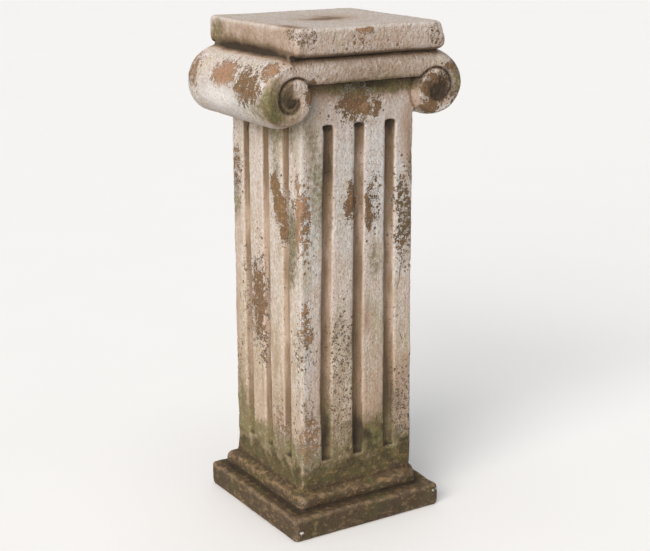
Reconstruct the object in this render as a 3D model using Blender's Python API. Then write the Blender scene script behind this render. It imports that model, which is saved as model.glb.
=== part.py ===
"""Square fluted pedestal column with an Ionic cap, cast as one piece. Metres, +Z up.

The origin is on the ground under the centre of the plinth. The volutes face -Y and +Y,
and the two bolsters behind them run along Y, beside the top of the shaft at -X and +X.
"""

import math

import bmesh
import bpy
from mathutils import Vector

# The foot: a plinth slab with a round-edged step on it.
PLINTH_WIDTH = 0.281
PLINTH_HEIGHT = 0.0385
PLINTH_EDGE = 0.007
PLINTH_CORNER = 0.009
STEP_WIDTH = 0.240
STEP_HEIGHT = 0.025
STEP_EDGE = 0.011
STEP_CORNER = 0.012

# The square shaft, from the step to the underside of the abacus.
SHAFT_WIDTH = 0.2105
SHAFT_HEIGHT = 0.693
SHAFT_DRAFT = 0.0035
SHAFT_CORNER = 0.004
SHAFT_COVE = 0.006

# The flutes, the same on all four faces. Their heads stop below the volutes.
FLUTES_PER_FACE = 3
FLUTE_PITCH = 0.060
FLUTE_WIDTH = 0.020
FLUTE_DEPTH = 0.008
FLUTE_FOOT_GAP = 0.0465
FLUTE_HEAD_GAP = 0.003

# The volutes: one spiral that loses the same radius each turn. Its first turn is the
# outline of the bolster. Past the hook under the band it is a groove that winds in to
# the eye, which sits a little lower than the pole of the first turn.
VOLUTE_SPACING = 0.262
VOLUTE_RADIUS = 0.059
VOLUTE_PITCH = 0.028
VOLUTE_LENGTH = 0.250
VOLUTE_EDGE = 0.007
HOOK_ANGLE = math.radians(300)
GROOVE_WIDTH = 0.005
GROOVE_DEPTH = 0.004
GROOVE_END_ANGLE = math.radians(655)
DISH_DEPTH = 0.0035
EYE_DROP = 0.0035
EYE_RADIUS = 0.006
EYE_HEIGHT = 0.003

# The swelling band between two volutes, and the abacus over them.
BAND_SETBACK = 0.001
BAND_TOP_HOLLOW = 0.009
BAND_FOOT_HOLLOW = 0.004
ABACUS_WIDTH = 0.269
ABACUS_THICKNESS = 0.0435
ABACUS_TOP_EDGE = 0.006
ABACUS_FOOT_EDGE = 0.011
ABACUS_CORNER = 0.009

# How far joined forms run into each other, and how finely curves are faceted.
LAP = 0.002
CORNER_STEPS = 4
EDGE_STEPS = 4
BAND_STEPS = 10
FLUTE_STEPS = 8
SPIRAL_STEPS = 36
EYE_STEPS = 16
SHARP_ANGLE = math.radians(32)

CAST_STONE = {"Base Color": (0.53, 0.47, 0.39, 1.0), "Roughness": 0.85, "Metallic": 0.0}

FULL_TURN = 2 * math.pi

step_z = PLINTH_HEIGHT
shaft_z = step_z + STEP_HEIGHT
abacus_z = shaft_z + SHAFT_HEIGHT
shaft_top_half = (SHAFT_WIDTH - SHAFT_DRAFT) / 2
pole_x = VOLUTE_SPACING / 2
pole_z = abacus_z - VOLUTE_RADIUS
face_y = VOLUTE_LENGTH / 2


def spiral_radius(angle):
    """Radius about the volute's pole, at that angle round from its top."""
    return VOLUTE_RADIUS - VOLUTE_PITCH * angle / FULL_TURN


def spiral_point(angle, inset=0.0):
    """(x, z) of the spiral of the +X volute, which starts at the top and goes outwards."""
    radius = spiral_radius(angle) - inset
    drop = EYE_DROP * max(angle / FULL_TURN - 1, 0)
    return pole_x + radius * math.sin(angle), pole_z - drop + radius * math.cos(angle)


band_z = spiral_point(HOOK_ANGLE)[1]
eye_z = pole_z - EYE_DROP
volute_foot_z = pole_z - spiral_radius(FULL_TURN / 2)


def mesh_object(name, fill):
    """A new object with the mesh that fill makes in a bmesh, its faces pointing out."""
    bm = bmesh.new()
    fill(bm)
    bmesh.ops.recalc_face_normals(bm, faces=bm.faces)
    mesh = bpy.data.meshes.new(name)
    bm.to_mesh(mesh)
    bm.free()
    obj = bpy.data.objects.new(name, mesh)
    bpy.context.scene.collection.objects.link(obj)
    return obj


def loft(bm, rings):
    """A closed skin over rings of equally many points, with a flat cap at each end."""
    loops = [[bm.verts.new(point) for point in ring] for ring in rings]
    for low, high in zip(loops, loops[1:]):
        for i in range(len(low)):
            j = (i + 1) % len(low)
            bm.faces.new((low[i], low[j], high[j], high[i]))
    bm.faces.new(reversed(loops[0]))
    bm.faces.new(loops[-1])


def quarter_round(steps):
    """Shares (inset, rise) of a quarter round that leaves a side and turns into a top."""
    angles = [math.pi / 2 * i / steps for i in range(steps + 1)]
    return [(1 - math.cos(angle), math.sin(angle)) for angle in angles]


def rounded_square(half, corner, z):
    """A ring at height z around a square of that half width, with round corners."""
    corner = max(corner, LAP / 2)
    centre = half - corner
    ring = []
    for side in range(4):
        cx = centre * (1 if side in (0, 3) else -1)
        cy = centre * (1 if side in (0, 1) else -1)
        for i in range(CORNER_STEPS + 1):
            angle = math.pi / 2 * (side + i / CORNER_STEPS)
            ring.append((cx + corner * math.cos(angle), cy + corner * math.sin(angle), z))
    return ring


def slab_rings(width, corner, low, high, low_edge, high_edge):
    """The rings of a square slab between two heights, its long edges quarter rounds."""
    edge = quarter_round(EDGE_STEPS)
    side = [(low_edge * inset, low + low_edge * (1 - rise)) for inset, rise in reversed(edge)]
    side += [(high_edge * inset, high - high_edge * (1 - rise)) for inset, rise in edge]
    return [rounded_square(width / 2 - inset, corner - inset, z) for inset, z in side]


def foot_and_shaft(bm):
    """Plinth, step and plain shaft, as one square form with the shaft's draft."""
    rings = slab_rings(PLINTH_WIDTH, PLINTH_CORNER, 0, step_z, PLINTH_EDGE, PLINTH_EDGE)
    rings += slab_rings(STEP_WIDTH, STEP_CORNER, step_z, shaft_z, STEP_EDGE, STEP_EDGE)
    for inset, rise in quarter_round(EDGE_STEPS):
        half = SHAFT_WIDTH / 2 + SHAFT_COVE * (1 - rise)
        rings.append(rounded_square(half, SHAFT_CORNER, shaft_z + SHAFT_COVE * inset))
    rings.append(rounded_square(shaft_top_half, SHAFT_CORNER, abacus_z + 3 * LAP))
    loft(bm, rings)


def abacus(bm):
    """The slab on top, whose lower edge is rounder than its upper one."""
    high = abacus_z + ABACUS_THICKNESS
    loft(bm, slab_rings(ABACUS_WIDTH, ABACUS_CORNER, abacus_z, high, ABACUS_FOOT_EDGE, ABACUS_TOP_EDGE))


def bolster(bm, side):
    """One bolster, from the front volute to the back one. Side is -1 or 1."""
    edge = reversed(quarter_round(EDGE_STEPS))
    front = [(VOLUTE_EDGE * inset, VOLUTE_EDGE * (1 - rise) - face_y) for inset, rise in edge]
    stations = front + [(inset, -y) for inset, y in reversed(front)]
    rings = []
    for inset, y in stations:
        outline = [spiral_point(FULL_TURN * i / SPIRAL_STEPS, inset) for i in range(SPIRAL_STEPS + 1)]
        rings.append([(side * x, y, z) for x, z in outline])
    loft(bm, rings)


def band(bm):
    """The bar between the two bolsters, which swells on the front and on the back."""
    height = abacus_z - band_z
    swell = []
    for i in range(BAND_STEPS + 1):
        rise = i / BAND_STEPS
        hollow = BAND_FOOT_HOLLOW if rise < 1 / 2 else BAND_TOP_HOLLOW
        y = face_y - BAND_SETBACK - hollow * (2 * rise - 1) ** 2
        swell.append((y, band_z + height * rise))
    swell.append((swell[-1][0], abacus_z + 2 * LAP))
    outline = swell + [(-y, z) for y, z in reversed(swell)]
    end_x = pole_x + LAP
    loft(bm, [[(x, y, z) for y, z in outline] for x in (-end_x, end_x)])


def flutes(bm):
    """The channels of all four faces, with half-oval floors and square ends."""
    low = shaft_z + FLUTE_FOOT_GAP
    high = volute_foot_z - FLUTE_HEAD_GAP
    for face in range(4):
        turn = face * math.pi / 2
        along = Vector((math.cos(turn), math.sin(turn), 0))
        out = Vector((math.sin(turn), -math.cos(turn), 0))
        for number in range(FLUTES_PER_FACE):
            offset = (number - (FLUTES_PER_FACE - 1) / 2) * FLUTE_PITCH
            rings = []
            for z in (low, high):
                half = (SHAFT_WIDTH - SHAFT_DRAFT * (z - shaft_z) / SHAFT_HEIGHT) / 2
                section = [(FLUTE_WIDTH / 2, FLUTE_DEPTH), (-FLUTE_WIDTH / 2, FLUTE_DEPTH)]
                for i in range(FLUTE_STEPS + 1):
                    angle = math.pi * i / FLUTE_STEPS
                    section.append((-FLUTE_WIDTH / 2 * math.cos(angle), -FLUTE_DEPTH * math.sin(angle)))
                rings.append([along * (offset + x) + out * (half + y) + Vector((0, 0, z)) for x, y in section])
            loft(bm, rings)


def volute_grooves(bm):
    """The groove of each volute: a V that winds from the hook in to the eye."""
    start = HOOK_ANGLE - FULL_TURN / SPIRAL_STEPS
    steps = round(SPIRAL_STEPS * (GROOVE_END_ANGLE - start) / FULL_TURN)
    for side in (-1, 1):
        for face in (-1, 1):
            rings = []
            for i in range(steps + 1):
                angle = start + (GROOVE_END_ANGLE - start) * i / steps
                lips = [spiral_point(angle, inset) for inset in (-GROOVE_WIDTH, GROOVE_WIDTH)]
                x, z = spiral_point(angle)
                ring = [(side * lip_x, face * (face_y + GROOVE_DEPTH), lip_z) for lip_x, lip_z in lips]
                rings.append(ring + [(side * x, face * (face_y - GROOVE_DEPTH), z)])
            loft(bm, rings)


def volute_dishes(bm):
    """A shallow cone round each eye, so that the inner coil sinks towards it."""
    rim = spiral_radius(GROOVE_END_ANGLE - FULL_TURN / 2)
    for side in (-1, 1):
        for face in (-1, 1):
            rings = []
            for radius, depth in ((2 * rim, -DISH_DEPTH), (EYE_RADIUS / 2, DISH_DEPTH)):
                rings.append(circle(side * pole_x, face * (face_y - depth), radius))
            loft(bm, rings)


def volute_eyes(bm):
    """A low round button in the middle of each dish."""
    for side in (-1, 1):
        for face in (-1, 1):
            floor = face_y - DISH_DEPTH
            rings = [circle(side * pole_x, face * (floor - LAP), EYE_RADIUS)]
            for inset, rise in quarter_round(EDGE_STEPS)[:-1]:
                radius = EYE_RADIUS * (1 - inset)
                rings.append(circle(side * pole_x, face * (floor + EYE_HEIGHT * rise), radius))
            loft(bm, rings)


def circle(x, y, radius):
    """A ring at the height of the eyes, about that x, in a plane across Y."""
    angles = [2 * math.pi * i / EYE_STEPS for i in range(EYE_STEPS)]
    return [(x + radius * math.cos(angle), y, eye_z + radius * math.sin(angle)) for angle in angles]


def combine(body, tool, operation):
    """Joins the tool to the body or cuts it out, and removes the tool."""
    boolean = body.modifiers.new(tool.name, "BOOLEAN")
    boolean.object = tool
    boolean.operation = operation
    boolean.solver = "EXACT"
    depsgraph = bpy.context.evaluated_depsgraph_get()
    mesh = bpy.data.meshes.new_from_object(body.evaluated_get(depsgraph))
    body.modifiers.clear()
    body.data = mesh
    bpy.data.objects.remove(tool)


def cast_stone():
    """The one material of the cast body."""
    material = bpy.data.materials.new("cast_stone")
    material.use_nodes = True
    shader = material.node_tree.nodes["Principled BSDF"]
    for socket, value in CAST_STONE.items():
        shader.inputs[socket].default_value = value
    return material


def build_column():
    """The whole pedestal as one closed solid."""
    column = mesh_object("column", foot_and_shaft)
    combine(column, mesh_object("abacus", abacus), "UNION")
    for side in (-1, 1):
        combine(column, mesh_object("bolster", lambda bm: bolster(bm, side)), "UNION")
    combine(column, mesh_object("band", band), "UNION")
    combine(column, mesh_object("flutes", flutes), "DIFFERENCE")
    combine(column, mesh_object("volute_grooves", volute_grooves), "DIFFERENCE")
    combine(column, mesh_object("volute_dishes", volute_dishes), "DIFFERENCE")
    combine(column, mesh_object("volute_eyes", volute_eyes), "UNION")
    column.data.name = "column"
    column.data.materials.clear()
    column.data.materials.append(cast_stone())
    column.data.shade_smooth()
    column.data.set_sharp_from_angle(angle=SHARP_ANGLE)


for old in list(bpy.data.objects):
    bpy.data.objects.remove(old)
build_column()
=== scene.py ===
"""The looks of a square fluted pedestal column with an Ionic cap, in weathered paint.

The column is one casting. Its parts are modelled as closed blocks, joined, remeshed into
one skin, worn by bends, bites and pits, and dressed in one painted finish.
Lengths are in metres, +Z is up, and the volutes face -Y and +Y.
"""

import logging
import math
from collections.abc import Callable, Sequence
from dataclasses import dataclass, field
from enum import Enum

import bmesh
import bpy
import numpy as np
from mathutils import Matrix, Vector, noise


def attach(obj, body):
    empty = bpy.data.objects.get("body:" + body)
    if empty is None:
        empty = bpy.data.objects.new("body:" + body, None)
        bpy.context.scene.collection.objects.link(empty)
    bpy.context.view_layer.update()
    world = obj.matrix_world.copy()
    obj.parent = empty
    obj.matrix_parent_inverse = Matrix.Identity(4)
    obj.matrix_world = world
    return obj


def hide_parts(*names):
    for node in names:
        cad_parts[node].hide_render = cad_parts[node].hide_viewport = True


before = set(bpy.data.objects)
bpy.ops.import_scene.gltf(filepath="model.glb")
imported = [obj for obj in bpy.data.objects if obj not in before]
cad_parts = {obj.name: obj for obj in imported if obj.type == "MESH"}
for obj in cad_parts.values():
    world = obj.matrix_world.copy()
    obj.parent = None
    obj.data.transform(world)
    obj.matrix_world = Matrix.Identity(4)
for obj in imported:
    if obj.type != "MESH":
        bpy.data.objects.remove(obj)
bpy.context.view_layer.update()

LOG = logging.getLogger("pedestal")

Triple = tuple[float, float, float]
Ring = list[Triple]
Colour = tuple[float, float, float]
Socket = bpy.types.NodeSocket
Wire = bpy.types.NodeSocket | bpy.types.Node | float | tuple[float, ...]
Sockets = bpy.types.bpy_prop_collection
Sizes = dict[str, float | int]

ORIGIN: Triple = (0.0, 0.0, 0.0)
FULL_TURN = 2 * math.pi


def opaque(colour: Colour) -> tuple[float, float, float, float]:
    """A colour with full alpha, as colour sockets want it."""
    return (*colour, 1.0)


# Node wiring


@dataclass
class Graph:
    """Adds nodes to a node tree and wires values into them."""

    tree: bpy.types.NodeTree

    @classmethod
    def geometry(cls, name: str, sizes: Sizes) -> "Graph":
        """Starts a Geometry Nodes tree.

        Args:
            name: The tree's name.
            sizes: Its named inputs, with their default values.

        Returns:
            The graph, with a Geometry input and output and the named inputs.
        """
        tree = bpy.data.node_groups.new(name, "GeometryNodeTree")
        tree.interface.new_socket("Geometry", in_out="INPUT", socket_type="NodeSocketGeometry")
        tree.interface.new_socket("Geometry", in_out="OUTPUT", socket_type="NodeSocketGeometry")
        for label, value in sizes.items():
            kind = "NodeSocketInt" if isinstance(value, int) else "NodeSocketFloat"
            socket = tree.interface.new_socket(label, in_out="INPUT", socket_type=kind)
            socket.default_value = value
        return cls(tree)

    @classmethod
    def shading_group(cls, name: str, outputs: Sequence[str], **inputs: float | Triple) -> "Graph":
        """Starts a shader node group.

        Args:
            name: The group's name.
            outputs: The names of its outputs, which are all numbers.
            **inputs: Its inputs, by name with _ for a space, with a number or a vector as default.

        Returns:
            The graph of the new group.
        """
        tree = bpy.data.node_groups.new(name, "ShaderNodeTree")
        for label, value in inputs.items():
            kind = "NodeSocketVector" if isinstance(value, tuple) else "NodeSocketFloat"
            socket = tree.interface.new_socket(label.replace("_", " "), in_out="INPUT", socket_type=kind)
            socket.default_value = value
        for label in outputs:
            tree.interface.new_socket(label, in_out="OUTPUT", socket_type="NodeSocketFloat")
        return cls(tree)

    def add(self, kind: str, inputs: dict[str | int, Wire] | None = None,
            **settings: object) -> bpy.types.Node:
        """Adds a node.

        Args:
            kind: The node's type name.
            inputs: Values or sockets to feed, by input name or index.
            **settings: The node's own settings, which are set before its inputs are fed.

        Returns:
            The new node.
        """
        node = self.tree.nodes.new(kind)
        for name, value in settings.items():
            setattr(node, name, value)
        for socket, value in (inputs or {}).items():
            self.feed(node.inputs[socket], value)
        return node

    def feed(self, socket: Socket, value: Wire) -> None:
        """Links a value into a socket, or sets the socket's own value.

        Args:
            socket: The input to feed.
            value: A socket, a node for its first output, or a plain value.
        """
        if isinstance(value, bpy.types.Node):
            value = value.outputs[0]
        if isinstance(value, bpy.types.NodeSocket):
            self.tree.links.new(value, socket)
        else:
            socket.default_value = value

    def inputs(self) -> bpy.types.Node:
        """A node with the tree's own inputs."""
        return self.add("NodeGroupInput")

    def finish(self, **outputs: Wire) -> bpy.types.NodeTree:
        """Feeds the tree's outputs.

        Args:
            **outputs: What each output gives, by name with _ for a space.

        Returns:
            The finished tree.
        """
        node = self.add("NodeGroupOutput")
        for name, value in outputs.items():
            self.feed(node.inputs[name.replace("_", " ")], value)
        return self.tree

    def calc(self, operation: str, *values: Wire, clamp: bool = False) -> Socket:
        """Adds a Math node.

        Args:
            operation: What it does.
            *values: What it works on.
            clamp: Whether its result is kept between 0 and 1.

        Returns:
            Its result.
        """
        node = self.add("ShaderNodeMath", operation=operation, use_clamp=clamp)
        for socket, value in zip(node.inputs, values):
            self.feed(socket, value)
        return node.outputs[0]

    def times(self, first: Wire, second: Wire) -> Socket:
        """One number times another."""
        return self.calc("MULTIPLY", first, second)

    def plus(self, first: Wire, second: Wire, clamp: bool = False) -> Socket:
        """One number and another."""
        return self.calc("ADD", first, second, clamp=clamp)

    def minus(self, first: Wire, second: Wire, clamp: bool = False) -> Socket:
        """One number less another."""
        return self.calc("SUBTRACT", first, second, clamp=clamp)

    def vector(self, operation: str, *values: Wire) -> Socket:
        """Adds a Vector Math node.

        Args:
            operation: What it does.
            *values: What it works on.

        Returns:
            Its number for a length or a dot product, else its vector.
        """
        node = self.add("ShaderNodeVectorMath", operation=operation)
        for socket, value in zip(node.inputs, values):
            self.feed(socket, value)
        return node.outputs["Value" if operation in ("LENGTH", "DOT_PRODUCT") else "Vector"]

    def scaled(self, vector: Wire, factor: Wire) -> Socket:
        """A vector times a number."""
        node = self.add("ShaderNodeVectorMath", {0: vector, "Scale": factor}, operation="SCALE")
        return node.outputs["Vector"]

    def join_xyz(self, x: Wire = 0.0, y: Wire = 0.0, z: Wire = 0.0) -> Socket:
        """A vector from three numbers."""
        return self.add("ShaderNodeCombineXYZ", {0: x, 1: y, 2: z}).outputs[0]

    def swing(self, value: Wire, amount: Wire) -> Socket:
        """A pattern about one half, turned into a rise and fall about nought."""
        return self.times(self.minus(value, 0.5), amount)

    def stray(self, place: Wire, scale: Wire, detail: float, reach: Wire, **more: Wire) -> Socket:
        """A random shift.

        Args:
            place: The coordinates to read.
            scale: Bends for each metre.
            detail: How many finer layers are added.
            reach: The width of its spread.
            **more: The roughness or the seed of the noise.

        Returns:
            The shift.
        """
        bend = self.noise(place, scale, detail, colour=True, **more)
        return self.scaled(self.vector("SUBTRACT", bend, (0.5, 0.5, 0.5)), reach)

    def ramp(self, value: Wire, low: Wire, high: Wire, most: float = 1.0) -> Socket:
        """A smooth step.

        Args:
            value: What is read.
            low: Where the step leaves 0.
            high: Where it is complete, which may lie below low.
            most: What it rises to.

        Returns:
            The step's value.
        """
        ends = {"Value": value, "From Min": low, "From Max": high, "To Max": most}
        node = self.add("ShaderNodeMapRange", ends, interpolation_type="SMOOTHSTEP")
        return node.outputs["Result"]

    def noise(self, place: Wire, scale: Wire, detail: float = 3.0, roughness: float = 0.5,
              colour: bool = False, seed: Wire | None = None) -> Socket:
        """A noise pattern.

        Args:
            place: The coordinates to read.
            scale: Features for each metre.
            detail: How many finer layers are added.
            roughness: How strong the finer layers are.
            colour: Whether three values are wanted instead of one.
            seed: Where a fourth axis is cut, for a pattern of its own.

        Returns:
            The value or colour, around one half.
        """
        sockets = {"Vector": place, "Scale": scale, "Detail": detail, "Roughness": roughness}
        if seed is not None:
            sockets["W"] = seed
        node = self.add("ShaderNodeTexNoise", None, noise_dimensions="3D" if seed is None else "4D")
        for name, value in sockets.items():
            self.feed(node.inputs[name], value)
        return node.outputs["Color" if colour else 0]

    def mix(self, factor: Wire, first: Wire, second: Wire) -> Socket:
        """Mixes two colours.

        Args:
            factor: The second one's share.
            first: The colour at 0.
            second: The colour at 1.

        Returns:
            The mix.
        """
        node = self.add("ShaderNodeMix", data_type="RGBA")
        node.clamp_factor = True
        self.feed(node.inputs[0], factor)
        self.feed(node.inputs[6], first)
        self.feed(node.inputs[7], second)
        return node.outputs[2]

    def tinted(self, colour: Wire, share: Wire, tint: Colour) -> Socket:
        """A colour with that share of a plain one over it."""
        return self.mix(share, colour, opaque(tint))

    def group(self, tree: bpy.types.NodeTree, **values: Wire) -> bpy.types.Node:
        """Places a node group.

        Args:
            tree: The group.
            **values: What its inputs are fed, by name with _ for a space.

        Returns:
            The group's node.
        """
        node = self.add("ShaderNodeGroup", None, node_tree=tree)
        for name, value in values.items():
            self.feed(node.inputs[name.replace("_", " ")], value)
        return node


# Mesh making


def mesh_object(name: str, fill: Callable[[bmesh.types.BMesh], None] | None = None) -> bpy.types.Object:
    """Makes an object from a function that fills a bmesh.

    Args:
        name: The object's name.
        fill: Puts the shape in the bmesh, or None for an empty mesh.

    Returns:
        The object, its faces pointing out.
    """
    mesh = bpy.data.meshes.new(name)
    obj = bpy.data.objects.new(name, mesh)
    bpy.context.scene.collection.objects.link(obj)
    if fill:
        bm = bmesh.new()
        fill(bm)
        bmesh.ops.recalc_face_normals(bm, faces=bm.faces)
        bm.to_mesh(mesh)
        bm.free()
    return obj


def loft(bm: bmesh.types.BMesh, rings: Sequence[Ring]) -> None:
    """Puts a closed skin over rings, with a flat cap at each end.

    Args:
        bm: Where the skin goes.
        rings: The rings from one end to the other, all with as many points.
    """
    loops = [[bm.verts.new(point) for point in ring] for ring in rings]
    for low, high in zip(loops, loops[1:]):
        for i in range(len(low)):
            j = (i + 1) % len(low)
            bm.faces.new((low[i], low[j], high[j], high[i]))
    bm.faces.new(reversed(loops[0]))
    bm.faces.new(loops[-1])


def settle_modifiers(obj: bpy.types.Object) -> bpy.types.Object:
    """Turns an object's modifiers into its mesh.

    Args:
        obj: The object.

    Returns:
        The same object, with no modifiers.
    """
    depsgraph = bpy.context.evaluated_depsgraph_get()
    mesh = bpy.data.meshes.new_from_object(obj.evaluated_get(depsgraph))
    obj.modifiers.clear()
    obj.data = mesh
    mesh.name = obj.name
    return obj


def face_outwards(obj: bpy.types.Object) -> bpy.types.Object:
    """Turns the faces of a closed mesh outwards, after its doubles are merged.

    Args:
        obj: The object with the mesh.

    Returns:
        The same object.
    """
    bm = bmesh.new()
    bm.from_mesh(obj.data)
    bmesh.ops.remove_doubles(bm, verts=bm.verts, dist=1e-6)
    bmesh.ops.recalc_face_normals(bm, faces=bm.faces)
    bm.to_mesh(obj.data)
    bm.free()
    return obj


def grown(tree: bpy.types.NodeTree, sizes: Sizes, obj: bpy.types.Object) -> bpy.types.Object:
    """Runs a Geometry Nodes tree on an object and keeps the result as a plain mesh.

    Args:
        tree: The node tree.
        sizes: Values for its named inputs.
        obj: The object that the tree works on.

    Returns:
        The same object, without the modifier.
    """
    modifier = obj.modifiers.new(tree.name, "NODES")
    modifier.node_group = tree
    for name, value in sizes.items():
        modifier[tree.interface.items_tree[name].identifier] = value
    return settle_modifiers(obj)


def combine(body: bpy.types.Object, tool: bpy.types.Object, operation: str) -> None:
    """Joins a tool to a body or cuts it out, and removes the tool.

    Args:
        body: The body that changes.
        tool: The closed shape that is used up.
        operation: UNION or DIFFERENCE.
    """
    boolean = body.modifiers.new(tool.name, "BOOLEAN")
    boolean.object = tool
    boolean.operation = operation
    boolean.solver = "EXACT"
    settle_modifiers(body)
    bpy.data.objects.remove(tool)


def quarter_round(steps: int) -> list[tuple[float, float]]:
    """Makes a quarter round that leaves a side and turns into a top.

    Args:
        steps: How many chords it has.

    Returns:
        Its points, as shares (inset, rise) of its radius.
    """
    angles = [math.pi / 2 * i / steps for i in range(steps + 1)]
    return [(1 - math.cos(angle), math.sin(angle)) for angle in angles]


@dataclass(frozen=True)
class Slab:
    """A square slab with quarter-round edges and round corners."""

    width: float
    low: float
    high: float
    low_edge: float
    high_edge: float
    corner: float
    edge_steps: int = 7
    corner_steps: int = 7
    least_corner: float = 0.001

    def ring(self, inset: float, z: float) -> Ring:
        """Makes one rounded square.

        Args:
            inset: How far it is drawn in from the slab's side.
            z: Its height.

        Returns:
            Its points, anticlockwise from the +X side.
        """
        corner = max(self.corner - inset, self.least_corner)
        centre = self.width / 2 - inset - corner
        points = []
        for side in range(4):
            cx = centre * (1 if side in (0, 3) else -1)
            cy = centre * (1 if side in (0, 1) else -1)
            for i in range(self.corner_steps + 1):
                angle = math.pi / 2 * (side + i / self.corner_steps)
                points.append((cx + corner * math.cos(angle), cy + corner * math.sin(angle), z))
        return points

    def rings(self) -> list[Ring]:
        """Makes the slab's outline.

        Returns:
            Every ring, from the underside up.
        """
        edge = quarter_round(self.edge_steps)
        rings = []
        for inset, rise in reversed(edge):
            rings.append(self.ring(self.low_edge * inset, self.low + self.low_edge * (1 - rise)))
        for inset, rise in edge:
            rings.append(self.ring(self.high_edge * inset, self.high - self.high_edge * (1 - rise)))
        return rings


# The parts of the casting


@dataclass(frozen=True)
class Foot:
    """The plinth slab, with the round-edged step on it."""

    plinth_width: float = 0.281
    plinth_height: float = 0.0385
    plinth_edge: float = 0.006
    plinth_corner: float = 0.009
    step_width: float = 0.240
    step_height: float = 0.025
    step_edge: float = 0.0112
    step_corner: float = 0.013

    @property
    def top(self) -> float:
        """The height at which the shaft starts."""
        return self.plinth_height + self.step_height

    def rings(self) -> list[Ring]:
        """Makes the outline of both slabs.

        Returns:
            Their rings, from the ground up.
        """
        plinth = Slab(self.plinth_width, 0.0, self.plinth_height, self.plinth_edge, self.plinth_edge,
                      self.plinth_corner)
        step = Slab(self.step_width, self.plinth_height, self.top, self.step_edge, self.step_edge,
                    self.step_corner)
        return plinth.rings() + step.rings()


@dataclass(frozen=True)
class Shaft:
    """The square shaft, with the same flutes on each face."""

    foot: Foot
    width: float = 0.2105
    height: float = 0.693
    draft: float = 0.0035
    corner: float = 0.0032
    cove: float = 0.006
    flutes_per_face: int = 3
    flute_pitch: float = 0.060
    flute_width: float = 0.0205
    flute_depth: float = 0.0068
    flute_foot_gap: float = 0.0465
    flute_sides: int = 40
    oval_share: float = 0.5774

    @property
    def top(self) -> float:
        """The height at which the abacus starts."""
        return self.foot.top + self.height

    @property
    def top_half(self) -> float:
        """Half the shaft's width at its top."""
        return (self.width - self.draft) / 2

    def block(self, lap: float) -> bpy.types.Object:
        """Makes the foot and the plain shaft.

        Args:
            lap: How far the shaft runs into the abacus.

        Returns:
            Both as one block.
        """
        base = Slab(self.width, 0.0, 0.0, 0.0, 0.0, self.corner)
        rings = self.foot.rings()
        for inset, rise in quarter_round(base.edge_steps):
            rings.append(base.ring(-self.cove * (1 - rise), self.foot.top + self.cove * inset))
        rings.append(base.ring(self.draft / 2, self.top + lap))
        return mesh_object("foot_and_shaft", lambda bm: loft(bm, rings))

    def flute_tree(self, sizes: Sizes) -> bpy.types.NodeTree:
        """Builds the tree that repeats one flute along a face and round the four faces.

        Args:
            sizes: Its named inputs.

        Returns:
            The tree.
        """
        graph = Graph.geometry("flute_channels", sizes)
        size = graph.inputs().outputs
        length = graph.minus(size["High"], size["Low"])
        rod = graph.add("GeometryNodeMeshCylinder", {
            "Vertices": size["Sides"], "Radius": 1.0, "Depth": length})
        lean = graph.calc("ARCTAN2", graph.minus(size["Half At Low"], size["Half At High"]), length)
        oval = graph.join_xyz(
            graph.times(size["Width"], self.oval_share), graph.times(size["Depth"], 2.0), 1.0)
        shaped = graph.add("GeometryNodeTransform", {"Geometry": rod, "Scale": oval})
        middle = graph.times(graph.plus(size["Half At Low"], size["Half At High"]), -0.5)
        middle = graph.minus(middle, size["Depth"])
        height = graph.times(graph.plus(size["High"], size["Low"]), 0.5)
        placed = graph.add("GeometryNodeTransform", {
            "Geometry": shaped, "Rotation": graph.join_xyz(graph.times(lean, -1.0)),
            "Translation": graph.join_xyz(0.0, middle, height)})
        span = graph.times(size["Pitch"], graph.minus(size["Count"], 1.0))
        row = graph.add("GeometryNodeMeshLine", {
            "Count": size["Count"], "Start Location": graph.join_xyz(graph.times(span, -0.5)),
            "Offset": graph.join_xyz(size["Pitch"])})
        face = graph.add("GeometryNodeInstanceOnPoints", {"Points": row, "Instance": placed})
        faces = graph.add("GeometryNodeMeshLine", {"Count": 4, "Offset": (0.0, 0.0, 0.0)})
        turn = graph.times(graph.add("GeometryNodeInputIndex"), math.pi / 2)
        ring = graph.add("GeometryNodeInstanceOnPoints", {
            "Points": faces, "Instance": face, "Rotation": graph.join_xyz(0.0, 0.0, turn)})
        real = graph.add("GeometryNodeRealizeInstances", {"Geometry": ring})
        return graph.finish(Geometry=graph.add("GeometryNodeSetMaterial", {"Geometry": real}))

    def flutes(self, high: float) -> bpy.types.Object:
        """Makes the channels of all four faces, as cutters with square ends.

        Args:
            high: The height at which the flutes end.

        Returns:
            The cutters in one object.
        """
        low = self.foot.top + self.flute_foot_gap
        lean = self.draft / 2 / self.height
        sizes = {
            "Count": self.flutes_per_face, "Pitch": self.flute_pitch, "Width": self.flute_width,
            "Depth": self.flute_depth, "Low": low, "High": high, "Sides": self.flute_sides,
            "Half At Low": self.width / 2 - lean * (low - self.foot.top),
            "Half At High": self.width / 2 - lean * (high - self.foot.top)}
        return face_outwards(grown(self.flute_tree(sizes), sizes, mesh_object("flutes")))


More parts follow.
